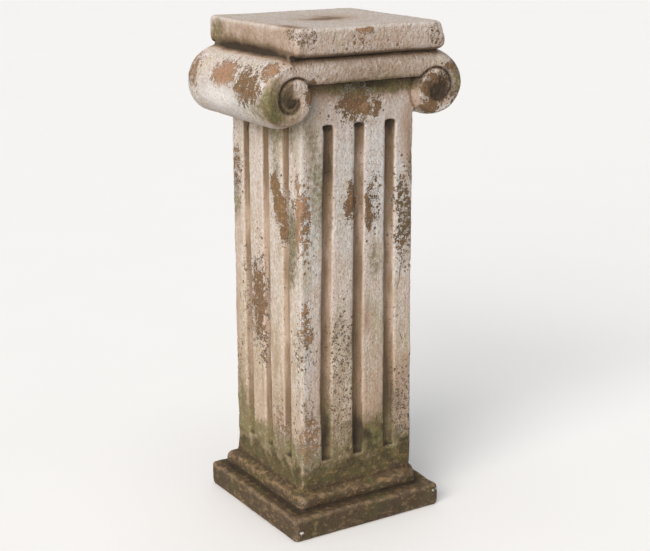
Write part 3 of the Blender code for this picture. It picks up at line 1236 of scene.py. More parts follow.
STAINS = {
    Tint.MOSS: (
        Stain((-0.172, -0.096, 0.686), 0.018, 0.02, Side.LEFT, 0.03, 0.5),
        Stain((-0.176, -0.125, 0.688), 0.013, 0.026, strength=0.9),
        Stain((-0.131, -0.125, 0.694), 0.026, 0.026, strength=0.35),
        Stain((0.02, -0.105, 0.704), 0.09, 0.013, strength=1.3),
        Stain((-0.105, 0.096, 0.504), 0.018, 0.036, Side.LEFT, strength=0.95),
        Stain((-0.105, -0.082, 0.48), 0.018, 0.042, Side.LEFT, strength=1.05),
        Stain((-0.105, -0.075, 0.42), 0.014, 0.04, Side.LEFT, strength=0.7),
        Stain((-0.105, -0.035, 0.575), 0.014, 0.02, Side.LEFT, strength=0.6),
        Stain((-0.105, -0.09, 0.6), 0.01, 0.03, Side.LEFT, strength=0.3),
        Stain((-0.105, 0.06, 0.23), 0.05, 0.05, Side.LEFT, strength=0.4),
        Stain((-0.105, 0.0, 0.125), 0.11, 0.022, Side.LEFT, strength=0.6),
        Stain((-0.105, -0.01, 0.643), 0.09, 0.018, Side.LEFT, strength=0.6),
        Stain((-0.105, -0.03, 0.62), 0.022, 0.036, Side.LEFT, strength=0.5),
        Stain((-0.105, 0.092, 0.156), 0.026, 0.042, Side.LEFT, strength=0.9),
        Stain((-0.105, -0.076, 0.625), 0.012, 0.03, Side.LEFT, strength=0.35),
        Stain((-0.066, -0.105, 0.538), 0.014, 0.06, strength=0.36),
        Stain((-0.006, -0.105, 0.6), 0.014, 0.06, strength=0.5),
        Stain((0.02, -0.105, 0.134), 0.028, 0.03, strength=0.8),
        Stain((-0.06, -0.105, 0.17), 0.016, 0.06, strength=0.4),
        Stain((0.06, -0.105, 0.15), 0.016, 0.07, strength=0.55),
        Stain((-0.135, 0.105, 0.78), 0.02, 0.02, Side.LEFT, strength=0.8),
        Stain((-0.135, 0.0, 0.774), 0.15, 0.022, Side.LEFT, 0.012, 0.38),
        Stain((-0.05, 0.01, 0.8), 0.04, 0.03, Side.TOP, strength=0.3),
        Stain((0.01, -0.125, 0.728), 0.09, 0.02, strength=0.42),
        Stain((-0.131, -0.125, 0.662), 0.045, 0.022, strength=0.35),
        Stain((-0.167, -0.125, 0.696), 0.02, 0.036, depth=0.01, strength=0.9),
        Stain((-0.08, -0.105, 0.56), 0.014, 0.075, strength=0.52),
        Stain((-0.088, -0.105, 0.64), 0.014, 0.04, strength=0.3),
        Stain((0.1, -0.105, 0.575), 0.01, 0.03, strength=0.7),
        Stain((0.092, -0.105, 0.5), 0.014, 0.05, strength=0.5),
        Stain((0.03, -0.105, 0.43), 0.012, 0.04, strength=0.7),
        Stain((-0.03, -0.105, 0.17), 0.11, 0.05, strength=0.25),
        Stain((-0.032, -0.105, 0.335), 0.014, 0.032, strength=0.5),
        Stain((0.172, -0.125, 0.705), 0.014, 0.032, strength=1.05),
        Stain((0.105, 0.0, 0.64), 0.09, 0.016, Side.RIGHT, strength=0.7),
        Stain((0.0, 0.105, 0.706), 0.08, 0.01, Side.BACK, strength=0.8),
        Stain((0.06, 0.105, 0.45), 0.016, 0.06, Side.BACK, strength=0.5),
        Stain((0.131, 0.125, 0.694), 0.026, 0.026, Side.BACK, strength=0.6),
    ),
    # Wash and dirt; those on the neck below the band and along the abacus's lower edges also stand for
    # painted shade.
    Tint.SOIL: (
        Stain((0.002, -0.105, 0.6), 0.014, 0.07, strength=-0.2),
        Stain((-0.056, -0.105, 0.56), 0.009, 0.07, strength=0.16),
        Stain((0.003, -0.105, 0.4), 0.013, 0.1, strength=0.12),
        Stain((0.003, -0.105, 0.22), 0.013, 0.08, strength=0.06),
        Stain((0.006, -0.105, 0.14), 0.013, 0.028, strength=0.8),
        Stain((0.022, -0.105, 0.14), 0.008, 0.014, strength=0.55),
        Stain((0.036, -0.105, 0.131), 0.012, 0.01, strength=0.5),
        Stain((-0.06, -0.105, 0.15), 0.012, 0.044, strength=0.3),
        Stain((-0.105, 0.098, 0.29), 0.016, 0.11, Side.LEFT, strength=0.16),
        Stain((0.0, -0.105, 0.335), 0.018, 0.04, strength=0.1),
        Stain((-0.016, -0.018, 0.8), 0.034, 0.02, Side.TOP, strength=0.38),
        Stain((0.016, 0.01, 0.8), 0.026, 0.03, Side.TOP, strength=0.26),
        Stain((-0.121, -0.098, 0.8), 0.014, 0.028, Side.TOP, strength=0.4),
        Stain((0.0, -0.125, 0.732), 0.14, 0.024, strength=0.2),
        Stain((0.0, 0.125, 0.732), 0.14, 0.024, Side.BACK, strength=0.32),
        Stain((0.01, -0.105, 0.704), 0.1, 0.014, strength=0.42),
        Stain((0.0, -0.105, 0.68), 0.11, 0.04, strength=0.14),
        Stain((-0.131, -0.125, 0.662), 0.05, 0.024, strength=0.28),
        Stain((-0.164, -0.125, 0.688), 0.022, 0.04, depth=0.01, strength=0.62),
        Stain((0.132, -0.125, 0.692), 0.024, 0.026, strength=0.34),
        Stain((0.134, -0.125, 0.688), 0.013, 0.014, strength=0.48),
        Stain((0.17, -0.125, 0.702), 0.012, 0.03, strength=0.34),
        Stain((0.106, -0.125, 0.705), 0.014, 0.022, strength=0.25),
        Stain((0.018, -0.105, 0.33), 0.014, 0.022, strength=0.2),
        Stain((0.072, -0.105, 0.205), 0.045, 0.08, strength=0.22),
        Stain((0.06, -0.105, 0.62), 0.011, 0.045, strength=0.1),
        Stain((-0.088, -0.105, 0.6), 0.014, 0.06, strength=0.12),
        Stain((0.095, -0.105, 0.61), 0.016, 0.06, strength=0.32),
        Stain((0.0, -0.135, 0.778), 0.18, 0.022, depth=0.012, strength=0.18),
        Stain((-0.132, 0.0, 0.758), 0.15, 0.012, Side.LEFT, 0.014, 1.0),
        Stain((-0.135, 0.02, 0.78), 0.15, 0.024, Side.LEFT, 0.012, 0.25),
        Stain((0.135, 0.0, 0.764), 0.15, 0.013, Side.RIGHT, 0.012, 0.6),
        Stain((0.0, 0.0, 0.8), 0.18, 0.18, Side.TOP, 0.012, 0.12),
    ),
    # The two on the left roll are painted light on its outer side and a painted highlight near its top;
    # the small ones are white chips at the plinth's corners.
    Tint.CHALK: (
        Stain((-0.185, 0.01, 0.692), 0.12, 0.036, Side.LEFT, 0.04, 0.56),
        Stain((-0.15, 0.01, 0.748), 0.11, 0.02, Side.LEFT, 0.034, 0.36),
        Stain((-0.129, -0.141, 0.016), 0.0045, 0.0028, depth=0.01),
        Stain((0.128, -0.141, 0.028), 0.0026, 0.0026, depth=0.01),
        Stain((0.136, -0.141, 0.029), 0.0026, 0.0026, depth=0.01),
    ),
    # These give a cooler cast of painted light over the front face, a painted highlight along its left
    # arris, painted light on the left roll's outer side and a cool tint on the top and by the left volute.
    Tint.COOL: (
        Stain((-0.098, -0.105, 0.25), 0.012, 0.09, strength=1.5),
        Stain((-0.092, -0.105, 0.44), 0.016, 0.12, strength=1.0),
        Stain((0.05, -0.105, 0.56), 0.06, 0.12, strength=0.5),
        Stain((-0.18, 0.0, 0.68), 0.13, 0.036, Side.LEFT, 0.045, 0.9),
        Stain((0.01, -0.105, 0.56), 0.11, 0.18, depth=0.012, strength=0.85),
        Stain((0.0, 0.0, 0.8), 0.18, 0.18, Side.TOP, 0.012, 0.5),
        Stain((-0.135, -0.1, 0.745), 0.04, 0.016, strength=0.8),
    ),
    Tint.EARTH: (
        Stain((-0.02, -0.105, 0.15), 0.03, 0.034, strength=0.55),
        Stain((0.045, -0.105, 0.15), 0.03, 0.04, strength=0.6),
        Stain((0.095, -0.105, 0.13), 0.016, 0.04, strength=0.3),
    ),
}

DENTS = (
    Dent((-0.15, 0.1, 0.745), 0.05, (-0.001, 0.0, 0.002)),
    Dent((-0.12, 0.12, 0.05), 0.04, (-0.004, 0.003, 0.0)),
    Dent((0.12, -0.12, 0.055), 0.03, (-0.007, 0.007, -0.006)),
    Dent((0.134, -0.134, 0.797), 0.022, (-0.004, 0.004, -0.003)),
    Dent((0.02, 0.06, 0.8), 0.06, (0.0, 0.0, -0.0012)),
    Dent((-0.06, -0.1, 0.8), 0.045, (0.0, 0.0, -0.0012)),
)

DRIFTS = (
    Drift(-0.06, ((0.2, 0.0), (0.33, 0.0018), (0.51, 0.0067), (0.64, 0.0082), (0.675, 0.0))),
    Drift(0.0, ((0.3, 0.0), (0.385, 0.0014), (0.51, 0.0039), (0.64, 0.004), (0.675, 0.0))),
)

BITES = (
    Bite((-0.137, -0.139, 0.806), 0.011),
    Bite((-0.12, -0.14, 0.801), 0.007),
    Bite((0.138, -0.14, 0.77), 0.008),
    Bite((0.136, -0.13, 0.785), 0.006),
    Bite((0.12, -0.138, 0.796), 0.006),
    Bite((-0.131, -0.146, 0.014), 0.007),
    Bite((0.13, -0.145, 0.03), 0.006),
    Bite((-0.004, -0.14, 0.801), 0.006),
    Bite((-0.175, -0.13, 0.735), 0.007),
    Bite((-0.142, 0.142, 0.03), 0.01),
    Bite((0.144, 0.143, 0.03), 0.011),
)


# Finishes


@dataclass
class Effects:
    """The shader groups that the finishes share, each built once."""

    dot_scale: float = 140.0
    speck_scale: float = 270.0
    dot_reach: float = 0.40
    ragged: bpy.types.NodeTree = field(init=False)
    grain: bpy.types.NodeTree = field(init=False)
    streaks: bpy.types.NodeTree = field(init=False)
    crack: bpy.types.NodeTree = field(init=False)

    def __post_init__(self) -> None:
        """Builds the groups."""
        self.ragged = self.ragged_mask()
        self.grain = self.cast_grain()
        self.streaks = self.brushed_streaks()
        self.crack = self.hairline()

    def ragged_mask(self) -> bpy.types.NodeTree:
        """Builds the group that cuts off a field's upper part along a flaking line.

        Returns:
            The group, which gives the mask, the broken rim round it and the edge inside it.
        """
        graph = Graph.shading_group(
            "ragged_mask", ("Mask", "Rim", "Edge"), Place=ORIGIN, Field=0.0, Cover=1.0, Coarse=0.45,
            Fine=0.42, Scale=125.0, Rim_Width=0.04)
        size = graph.inputs().outputs
        place, amount = size["Place"], size["Field"]
        thin = graph.minus(1.0, size["Cover"])
        spread = graph.plus(1.0, graph.times(thin, 1.2))
        coarse = graph.noise(place, size["Scale"], 2.0, 0.5)
        coarse = graph.swing(coarse, graph.times(size["Coarse"], 2.0))
        fine = graph.noise(place, graph.times(size["Scale"], 3.8), 4.0, 0.65)
        fine = graph.swing(fine, graph.times(size["Fine"], spread))
        top = graph.minus(0.86, graph.times(thin, 0.62))
        level = graph.plus(graph.calc("MINIMUM", amount, top), coarse)
        level = graph.plus(level, graph.times(fine, 2.0))
        level = graph.minus(level, graph.plus(0.5, graph.times(thin, 0.20)))
        present = graph.ramp(amount, 0.02, 0.10)
        big = self.spots(graph, place, self.dot_scale, graph.times(amount, graph.times(thin, 2.6)))
        small = self.spots(graph, place, self.speck_scale, graph.times(amount, 0.85))
        mask = graph.calc("MAXIMUM", graph.ramp(level, -0.015, 0.015), graph.calc("MAXIMUM", big, small))
        mask = graph.times(mask, present)
        rim = graph.times(graph.ramp(level, graph.times(size["Rim Width"], -3.0), -0.01), present)
        edge = graph.times(graph.ramp(level, 0.14, 0.0), mask)
        return graph.finish(Mask=mask, Rim=graph.minus(rim, mask, clamp=True), Edge=edge)

    def spots(self, graph: Graph, place: Wire, scale: float, share: Wire) -> Socket:
        """Wires ragged dots, one in a cell at most.

        Args:
            graph: The tree that the nodes go in.
            place: Where they are looked up.
            scale: Cells to a metre.
            share: The share of the cells that have a dot.

        Returns:
            The dots' mask.
        """
        bend = graph.stray(place, scale * 3.0, 2.0, 0.55 / scale, roughness=0.6)
        bent = graph.vector("ADD", place, bend)
        cells = graph.add("ShaderNodeTexVoronoi", {"Vector": bent, "Scale": scale})
        chances = graph.add("ShaderNodeSeparateColor", {0: cells.outputs["Color"]}).outputs
        radius = graph.times(graph.plus(graph.times(chances[1], 0.65), 0.35), self.dot_reach)
        dot = graph.ramp(cells.outputs["Distance"], radius, graph.times(radius, 0.8))
        return graph.times(dot, graph.calc("LESS_THAN", chances[0], share))

    def cast_grain(self) -> bpy.types.NodeTree:
        """Builds the group of a sandy casting with fine pits.

        Returns:
            The group, which gives the height in metres, and the pits alone as a mask.
        """
        graph = Graph.shading_group(
            "cast_grain", ("Height", "Pit Mask"), Place=ORIGIN, Sand=0.0002, Waves=0.0006, Pits=0.0006,
            Pit_Scale=190.0, Pit_Share=0.35)
        size = graph.inputs().outputs
        sand = graph.swing(graph.noise(size["Place"], 620.0, 4.0, 0.65), size["Sand"])
        waves = graph.swing(graph.noise(size["Place"], 210.0, 3.0, 0.55), size["Waves"])
        cells = graph.add("ShaderNodeTexVoronoi", {"Vector": size["Place"], "Scale": size["Pit Scale"]})
        chance = graph.add("ShaderNodeSeparateColor", {0: cells.outputs["Color"]}).outputs[0]
        width = graph.times(graph.plus(chance, 0.25), 0.55)
        pit = graph.ramp(cells.outputs["Distance"], width, graph.times(width, 0.35))
        pit = graph.times(pit, graph.calc("LESS_THAN", chance, size["Pit Share"]))
        height = graph.minus(graph.plus(sand, waves), graph.times(pit, size["Pits"]))
        return graph.finish(Height=height, Pit_Mask=pit)

    def brushed_streaks(self) -> bpy.types.NodeTree:
        """Builds the group of streaks that are drawn out along an axis.

        Returns:
            The group, which gives the streaks from 0 to 1.
        """
        graph = Graph.shading_group(
            "brushed_streaks", ("Streaks",), Place=ORIGIN, Stretch=(1.0, 1.0, 0.1), Scale=160.0,
            Contrast=1.0)
        size = graph.inputs().outputs
        bent = graph.vector("ADD", size["Place"], graph.stray(size["Place"], 14.0, 1.0, 0.010))
        along = graph.vector("MULTIPLY", bent, size["Stretch"])
        swing = graph.swing(graph.noise(along, size["Scale"], 4.0, 0.6), size["Contrast"])
        return graph.finish(Streaks=graph.plus(graph.times(swing, 2.0), 0.5, clamp=True))

    def hairline(self) -> bpy.types.NodeTree:
        """Builds the group of a crack that wanders from one point to another.

        Returns:
            The group, which gives the crack's mask.
        """
        graph = Graph.shading_group(
            "hairline_crack", ("Mask",), Place=ORIGIN, Start=ORIGIN, End=(0.0, 0.0, 1.0),
            Plane=(1.0, 0.0, 1.0), Width=0.0006)
        size = graph.inputs().outputs
        place = graph.vector("ADD", size["Place"], graph.stray(size["Place"], 130.0, 3.0, 0.004))
        run = graph.vector("SUBTRACT", size["End"], size["Start"])
        away = graph.vector("SUBTRACT", place, size["Start"])
        squared = graph.vector("DOT_PRODUCT", run, run)
        share = graph.calc("DIVIDE", graph.vector("DOT_PRODUCT", away, run), squared, clamp=True)
        gap = graph.vector("SUBTRACT", away, graph.scaled(run, share))
        near = graph.ramp(graph.vector("LENGTH", gap), 0.012, 0.008)
        gap = graph.vector("LENGTH", graph.vector("MULTIPLY", gap, size["Plane"]))
        off_middle = graph.calc("ABSOLUTE", graph.minus(share, 0.5))
        taper = graph.times(size["Width"], graph.minus(1.0, graph.times(off_middle, 1.4)))
        line = graph.ramp(gap, taper, graph.times(taper, 0.4))
        return graph.finish(Mask=graph.times(line, near))


@dataclass(frozen=True)
class Hairline:
    """A hairline crack in the paint."""

    start: Triple
    end: Triple
    width: float = 0.0007
    plane: Triple = (1.0, 0.0, 1.0)


@dataclass(frozen=True)
class Reading:
    """What the painted finish reads at a point: its place, the patterns there and the vertex marks."""

    place: Wire
    height: Wire
    on_cap: Wire
    cloud: Wire
    streaks: Wire
    broad: Wire
    speck: Wire
    scuffs: Wire
    marks: dict[str, Wire]

    @classmethod
    def taken(cls, graph: Graph, effects: Effects) -> "Reading":
        """Adds the nodes that read a point.

        Args:
            graph: The material's tree.
            effects: The shared shader groups.

        Returns:
            The reading.
        """
        place = graph.add("ShaderNodeTexCoord").outputs["Object"]
        height = graph.add("ShaderNodeSeparateXYZ", {0: place}).outputs[2]
        on_cap = graph.ramp(height, 0.655, 0.690)
        upright = graph.group(effects.streaks, Place=place, Scale=170.0)
        mottled = graph.group(effects.streaks, Place=place, Scale=110.0, Stretch=(0.8, 0.8, 1.0))
        broad = graph.group(effects.streaks, Place=place, Scale=42.0, Stretch=(1.0, 1.0, 0.3))
        names = [tint.value for tint in Tint] + ["bare", "tone", "cover", "ridge", "hollow", "rubbed"]
        return cls(
            place, height, on_cap,
            cloud=graph.noise(place, 16.0, 3.0, 0.55),
            streaks=graph.mix(on_cap, upright, mottled),
            broad=graph.mix(on_cap, broad, graph.noise(place, 45.0, 3.0, 0.55)),
            speck=graph.noise(place, 420.0, 3.0, 0.7),
            scuffs=graph.noise(graph.vector("MULTIPLY", place, (0.6, 0.6, 1.0)), 150.0, 5.0, 0.7),
            marks={name: graph.add("ShaderNodeAttribute", None, attribute_name=name).outputs["Fac"]
                   for name in names})


@dataclass(frozen=True)
class PaintedFinish:
    """Old cream paint over reddish cast stone, with washes, moss, worn patches and painted light and
    shade.
    """

    cream: Colour = (0.63, 0.57, 0.525)
    tan: Colour = (0.52, 0.405, 0.275)
    cool: Colour = (0.64, 0.66, 0.68)
    chalk: Colour = (0.78, 0.75, 0.72)
    thin_wash: Colour = (0.46, 0.325, 0.24)
    wash: Colour = (0.19, 0.125, 0.072)
    deep_wash_and_shade: Colour = (0.050, 0.035, 0.023)
    moss: Colour = (0.175, 0.160, 0.064)
    pink: Colour = (0.60, 0.46, 0.39)
    yellow: Colour = (0.52, 0.46, 0.31)
    runs: Colour = (0.340, 0.268, 0.160)
    foot: Colour = (0.090, 0.056, 0.027)
    foot_light: Colour = (0.310, 0.205, 0.095)
    foot_green: Colour = (0.086, 0.072, 0.022)
    terracotta: Colour = (0.41, 0.245, 0.155)
    rust: Colour = (0.34, 0.205, 0.120)
    mustard: Colour = (0.20, 0.130, 0.055)
    brown: Colour = (0.205, 0.120, 0.068)
    olive: Colour = (0.115, 0.085, 0.045)
    paint_thickness: float = 0.0007
    foot_roughness: float = 0.0060
    roughness: float = 0.84
    cracks: tuple[Hairline, ...] = (
        Hairline((-0.105, 0.064, 0.641), (-0.105, 0.067, 0.622), 0.0016, (0.0, 1.0, 1.0)),
        Hairline((0.083, -0.105, 0.432), (0.075, -0.105, 0.377), 0.0011),
        Hairline((-0.105, 0.088, 0.352), (-0.105, 0.087, 0.338), 0.0012, (0.0, 1.0, 1.0)),
        Hairline((0.080, -0.105, 0.300), (0.086, -0.105, 0.288), 0.0009),
        Hairline((-0.060, 0.105, 0.560), (-0.052, 0.105, 0.500), 0.0010))

    def material(self, effects: Effects) -> bpy.types.Material:
        """Builds the finish.

        Args:
            effects: The shared shader groups.

        Returns:
            The material.
        """
        material = bpy.data.materials.new("weathered_paint")
        material.use_nodes = True
        graph = Graph(material.node_tree)
        at = Reading.taken(graph, effects)
        waves = graph.plus(0.0014, graph.times(at.on_cap, 0.0022))
        grain = graph.group(effects.grain, Place=at.place, Sand=0.0008, Pits=0.0012, Waves=waves).outputs
        flakes = graph.group(
            effects.ragged, Place=at.place, Field=at.marks["bare"], Cover=at.marks["cover"]).outputs
        paint = self.washed(graph, at, self.paint(graph, at))
        paint = graph.tinted(paint, graph.times(flakes["Rim"], 0.50), self.chalk)
        under = self.under_colour(graph, at)
        under = graph.tinted(under, graph.times(flakes["Edge"], 0.45), self.wash)
        under = self.mossy(graph, at, under, 0.45)
        earth = self.earth_mask(graph, at)
        colour = self.footed(graph, at, graph.mix(flakes["Mask"], paint, under), earth)
        colour = self.settled(graph, at, colour)
        dots = graph.times(grain["Pit Mask"], graph.ramp(at.cloud, 0.38, 0.62, 0.55))
        colour = graph.tinted(colour, dots, self.deep_wash_and_shade)
        # White chips, and painted light on the left roll, where the chalk mark lies.
        chalk = graph.plus(at.marks["chalk"], graph.times(at.speck, 0.5))
        chalk = graph.ramp(chalk, 0.62, 0.80)
        colour = graph.tinted(colour, chalk, self.chalk)
        cracked = self.cracked(graph, at, effects)
        colour = graph.tinted(colour, graph.times(cracked, 0.85), self.deep_wash_and_shade)
        rough = graph.plus(self.roughness - 0.06, graph.times(at.speck, 0.14))
        rough = graph.plus(rough, graph.times(flakes["Mask"], 0.05))
        lost = graph.times(graph.calc("MAXIMUM", flakes["Mask"], chalk), -self.paint_thickness)
        relief = graph.plus(graph.plus(grain["Height"], graph.swing(at.streaks, 0.00045)), lost)
        relief = graph.minus(relief, graph.times(cracked, 0.0008))
        relief = graph.plus(relief, graph.times(graph.swing(at.scuffs, self.foot_roughness), earth))
        shader = material.node_tree.nodes["Principled BSDF"]
        shader.inputs["Specular IOR Level"].default_value = 0.30
        graph.feed(shader.inputs["Base Color"], colour)
        graph.feed(shader.inputs["Roughness"], rough)
        bump = graph.add("ShaderNodeBump", {"Distance": 1.0, "Height": relief})
        graph.feed(shader.inputs["Normal"], bump)
        return material

    def paint(self, graph: Graph, at: Reading) -> Socket:
        """The cream paint, warmer low down and cooler where the cool tint and painted light lie.

        Args:
            graph: The material's tree.
            at: What is read at the point.

        Returns:
            The paint's colour.
        """
        lift = graph.plus(at.height, graph.swing(at.cloud, 0.45))
        paint = graph.mix(graph.ramp(lift, 0.10, 0.62), opaque(self.tan), opaque(self.cream))
        paint = graph.tinted(paint, graph.ramp(at.streaks, 0.35, 1.0, 0.55), self.tan)
        mottle = graph.noise(graph.vector("MULTIPLY", at.place, (1.0, 1.0, 0.45)), 95.0, 5.0, 0.68)
        paint = graph.tinted(paint, graph.ramp(mottle, 0.50, 0.66, 0.60), self.thin_wash)
        paint = graph.tinted(paint, graph.ramp(mottle, 0.48, 0.30, 0.50), self.chalk)
        hues = graph.noise(graph.vector("MULTIPLY", at.place, (1.0, 1.0, 0.22)), 34.0, 3.0, colour=True)
        hues = graph.add("ShaderNodeSeparateColor", {0: hues}).outputs
        paint = graph.tinted(paint, graph.ramp(hues[0], 0.50, 0.64, 0.60), self.pink)
        paint = graph.tinted(paint, graph.ramp(hues[1], 0.52, 0.66, 0.60), self.yellow)
        # Cooler where the cool tint and painted light lie.
        cool = graph.times(at.marks["cool"], graph.ramp(at.streaks, 0.20, 0.70, 0.75))
        paint = graph.tinted(paint, cool, self.cool)
        sand = graph.noise(graph.vector("MULTIPLY", at.place, (1.0, 1.0, 0.55)), 360.0, 3.0, 0.65)
        paint = graph.tinted(paint, graph.ramp(sand, 0.50, 0.62, 0.50), self.thin_wash)
        return graph.tinted(paint, graph.ramp(sand, 0.50, 0.38, 0.50), self.chalk)

    def washed(self, graph: Graph, at: Reading, paint: Wire) -> Socket:
        """The paint under its brown wash, its moss and painted shade, kept lighter on ridges.

        Args:
            graph: The material's tree.
            at: What is read at the point.
            paint: The paint's colour.

        Returns:
            The colour with the washes and painted shade on it.
        """
        deep = graph.times(at.marks["soil"], 2.0)
        soil = graph.times(deep, graph.plus(0.62, graph.times(at.broad, 0.7)))
        # Darker in hollows, as dirt and painted shade, and less so on ridges.
        soil = graph.plus(soil, graph.times(at.marks["hollow"], 0.55))
        soil = graph.plus(soil, graph.swing(at.streaks, 0.30))
        soil = graph.minus(soil, graph.times(at.marks["ridge"], 0.30))
        runs = graph.times(graph.ramp(at.broad, 0.45, 0.90, 0.70), graph.ramp(at.height, 0.66, 0.24))
        paint = graph.tinted(paint, runs, self.runs)
        paint = graph.tinted(paint, graph.ramp(soil, 0.05, 0.50, 0.75), self.thin_wash)
        paint = graph.tinted(paint, graph.ramp(soil, 0.35, 1.05, 0.90), self.wash)
        paint = self.mossy(graph, at, paint, 0.88)
        paint = graph.tinted(paint, graph.ramp(soil, 0.95, 2.00), self.deep_wash_and_shade)
        paint = graph.tinted(paint, graph.ramp(at.speck, 0.58, 0.68, 0.50), self.wash)
        # Clean ridges are lightened towards cream, as worn paint and a painted highlight.
        clear = graph.times(graph.ramp(at.marks["soil"], 0.45, 0.15), graph.ramp(
            at.marks["moss"], 0.6, 0.1, 0.40))
        return graph.tinted(paint, graph.times(at.marks["ridge"], clear), self.cream)

    def mossy(self, graph: Graph, at: Reading, colour: Wire, most: float) -> Socket:
        """A colour under its moss.

        Args:
            graph: The material's tree.
            at: What is read at the point.
            colour: The colour below.
            most: How much of it the thickest moss hides.

        Returns:
            The colour with moss on it.
        """
        moss = at.marks["moss"]
        tufts = graph.noise(at.place, 120.0, 5.0, 0.7)
        swing = graph.plus(graph.swing(at.broad, 0.35), graph.swing(tufts, 1.5))
        level = graph.plus(moss, graph.times(swing, graph.ramp(moss, 0.0, 0.5)))
        level = graph.times(graph.ramp(level, 0.12, 0.95), graph.ramp(moss, 0.02, 0.12, most))
        hue = graph.ramp(graph.noise(at.place, 60.0, 3.0, 0.6), 0.42, 0.62, 0.65)
        growth = graph.mix(hue, opaque(self.moss), opaque(self.wash))
        growth = graph.tinted(growth, graph.ramp(tufts, 0.50, 0.36, 0.35), self.yellow)
        return graph.mix(level, colour, growth)

    def under_colour(self, graph: Graph, at: Reading) -> Socket:
        """What shows through lost paint, from terracotta at tone 0 to olive at 1.

        Args:
            graph: The material's tree.
            at: What is read at the point.

        Returns:
            The under-colour.
        """
        turned = graph.noise(at.place, 75.0, 4.0, 0.65)
        tone = graph.plus(at.marks["tone"], graph.swing(turned, 1.3))
        ramp = graph.add("ShaderNodeValToRGB", {"Fac": tone})
        stops = ramp.color_ramp.elements
        between = {Tone.RUST: self.rust, Tone.MUSTARD: self.mustard, Tone.BROWN: self.brown}
        stops[0].position = Tone.TERRACOTTA.value
        stops[0].color = opaque(self.terracotta)
        stops[1].position = Tone.OLIVE.value
        stops[1].color = opaque(self.olive)
        for step, colour in between.items():
            stops.new(step.value).color = opaque(colour)
        fleck = graph.noise(at.place, 210.0, 4.0, 0.7)
        under = graph.tinted(ramp, graph.ramp(fleck, 0.51, 0.62, 0.60), self.wash)
        under = graph.tinted(under, graph.ramp(fleck, 0.48, 0.36, 0.55), self.terracotta)
        # Darker under the wash and painted shade.
        under = graph.tinted(under, graph.ramp(at.marks["soil"], 0.25, 0.90, 0.80), self.deep_wash_and_shade)
        return graph.tinted(under, graph.ramp(at.speck, 0.60, 0.70, 0.50), self.deep_wash_and_shade)

    def creep(self, graph: Graph, at: Reading) -> Socket:
        """The slow pattern in which the earth creeps up and is stained."""
        return graph.noise(at.place, 38.0, 4.0, 0.62)

    def earth_mask(self, graph: Graph, at: Reading) -> Socket:
        """Finds where the dark earth from the ground has taken the paint.

        Args:
            graph: The material's tree.
            at: What is read at the point.

        Returns:
            The earth's mask.
        """
        level = graph.plus(at.marks["earth"], graph.swing(self.creep(graph, at), 1.1))
        return graph.ramp(level, 0.30, 0.78, 0.94)

    def footed(self, graph: Graph, at: Reading, colour: Wire, mask: Wire) -> Socket:
        """The colour with the dark earth that creeps up from the ground, and its painted light and shade.

        Args:
            graph: The material's tree.
            at: What is read at the point.
            colour: The colour above it.
            mask: Where the earth lies.

        Returns:
            The colour with the earth on it.
        """
        green = graph.ramp(graph.noise(at.place, 22.0, 4.0, 0.65), 0.48, 0.62)
        on_shaft = graph.ramp(at.height, 0.062, 0.080)
        grown = graph.mix(graph.times(on_shaft, 0.35), opaque(self.foot_green), opaque(self.moss))
        green = graph.calc("MAXIMUM", green, graph.times(on_shaft, 0.85))
        earth = graph.mix(green, opaque(self.foot), grown)
        earth = graph.tinted(earth, graph.ramp(at.scuffs, 0.52, 0.62, 0.85), self.foot_light)
        earth = graph.tinted(earth, graph.ramp(self.creep(graph, at), 0.50, 0.64, 0.55), self.deep_wash_and_shade)
        # Lighter on ridges, as rubbed wear and a painted highlight.
        rubbed = graph.ramp(graph.plus(at.scuffs, at.speck), 0.88, 1.12, 0.85)
        earth = graph.tinted(earth, graph.times(at.marks["ridge"], rubbed), self.thin_wash)
        # A painted highlight on the round upper edges that face up, broken up like rubbing.
        worn = graph.times(at.marks["rubbed"], graph.ramp(at.scuffs, 0.40, 0.56, 0.80))
        earth = graph.tinted(earth, worn, self.foot_light)
        earth = graph.tinted(earth, graph.ramp(at.speck, 0.56, 0.70, 0.40), self.brown)
        earth = graph.tinted(earth, graph.ramp(at.speck, 0.46, 0.34, 0.55), self.deep_wash_and_shade)
        # Darker on the plinth below the step, and in the hollows as dirt and painted shade.
        earth = graph.tinted(earth, graph.ramp(at.height, 0.042, 0.036, 0.20), self.deep_wash_and_shade)
        earth = graph.tinted(earth, graph.times(at.marks["hollow"], 0.90), self.deep_wash_and_shade)
        return graph.mix(mask, colour, earth)

    def settled(self, graph: Graph, at: Reading, colour: Wire) -> Socket:
        """The colour darkened towards black, as dirt and painted shade, where the wash and shade are
        deepest.

        Args:
            graph: The material's tree.
            at: What is read at the point.
            colour: The colour below.

        Returns:
            The colour with the dirt on it.
        """
        dirt_and_shade = graph.plus(at.marks["soil"], graph.plus(graph.swing(at.broad, 0.30), graph.swing(
            at.speck, 0.45)))
        return graph.tinted(colour, graph.ramp(dirt_and_shade, 0.58, 1.20, 0.82), self.deep_wash_and_shade)

    def cracked(self, graph: Graph, at: Reading, effects: Effects) -> Wire:
        """Where the hairline cracks run.

        Args:
            graph: The material's tree.
            at: What is read at the point.
            effects: The shared shader groups.

        Returns:
            The mask of them all.
        """
        cracked = 0.0
        for crack in self.cracks:
            line = graph.group(effects.crack, Place=at.place, Start=crack.start, End=crack.end,
                               Width=crack.width, Plane=crack.plane)
            cracked = graph.calc("MAXIMUM", cracked, line)
        return cracked


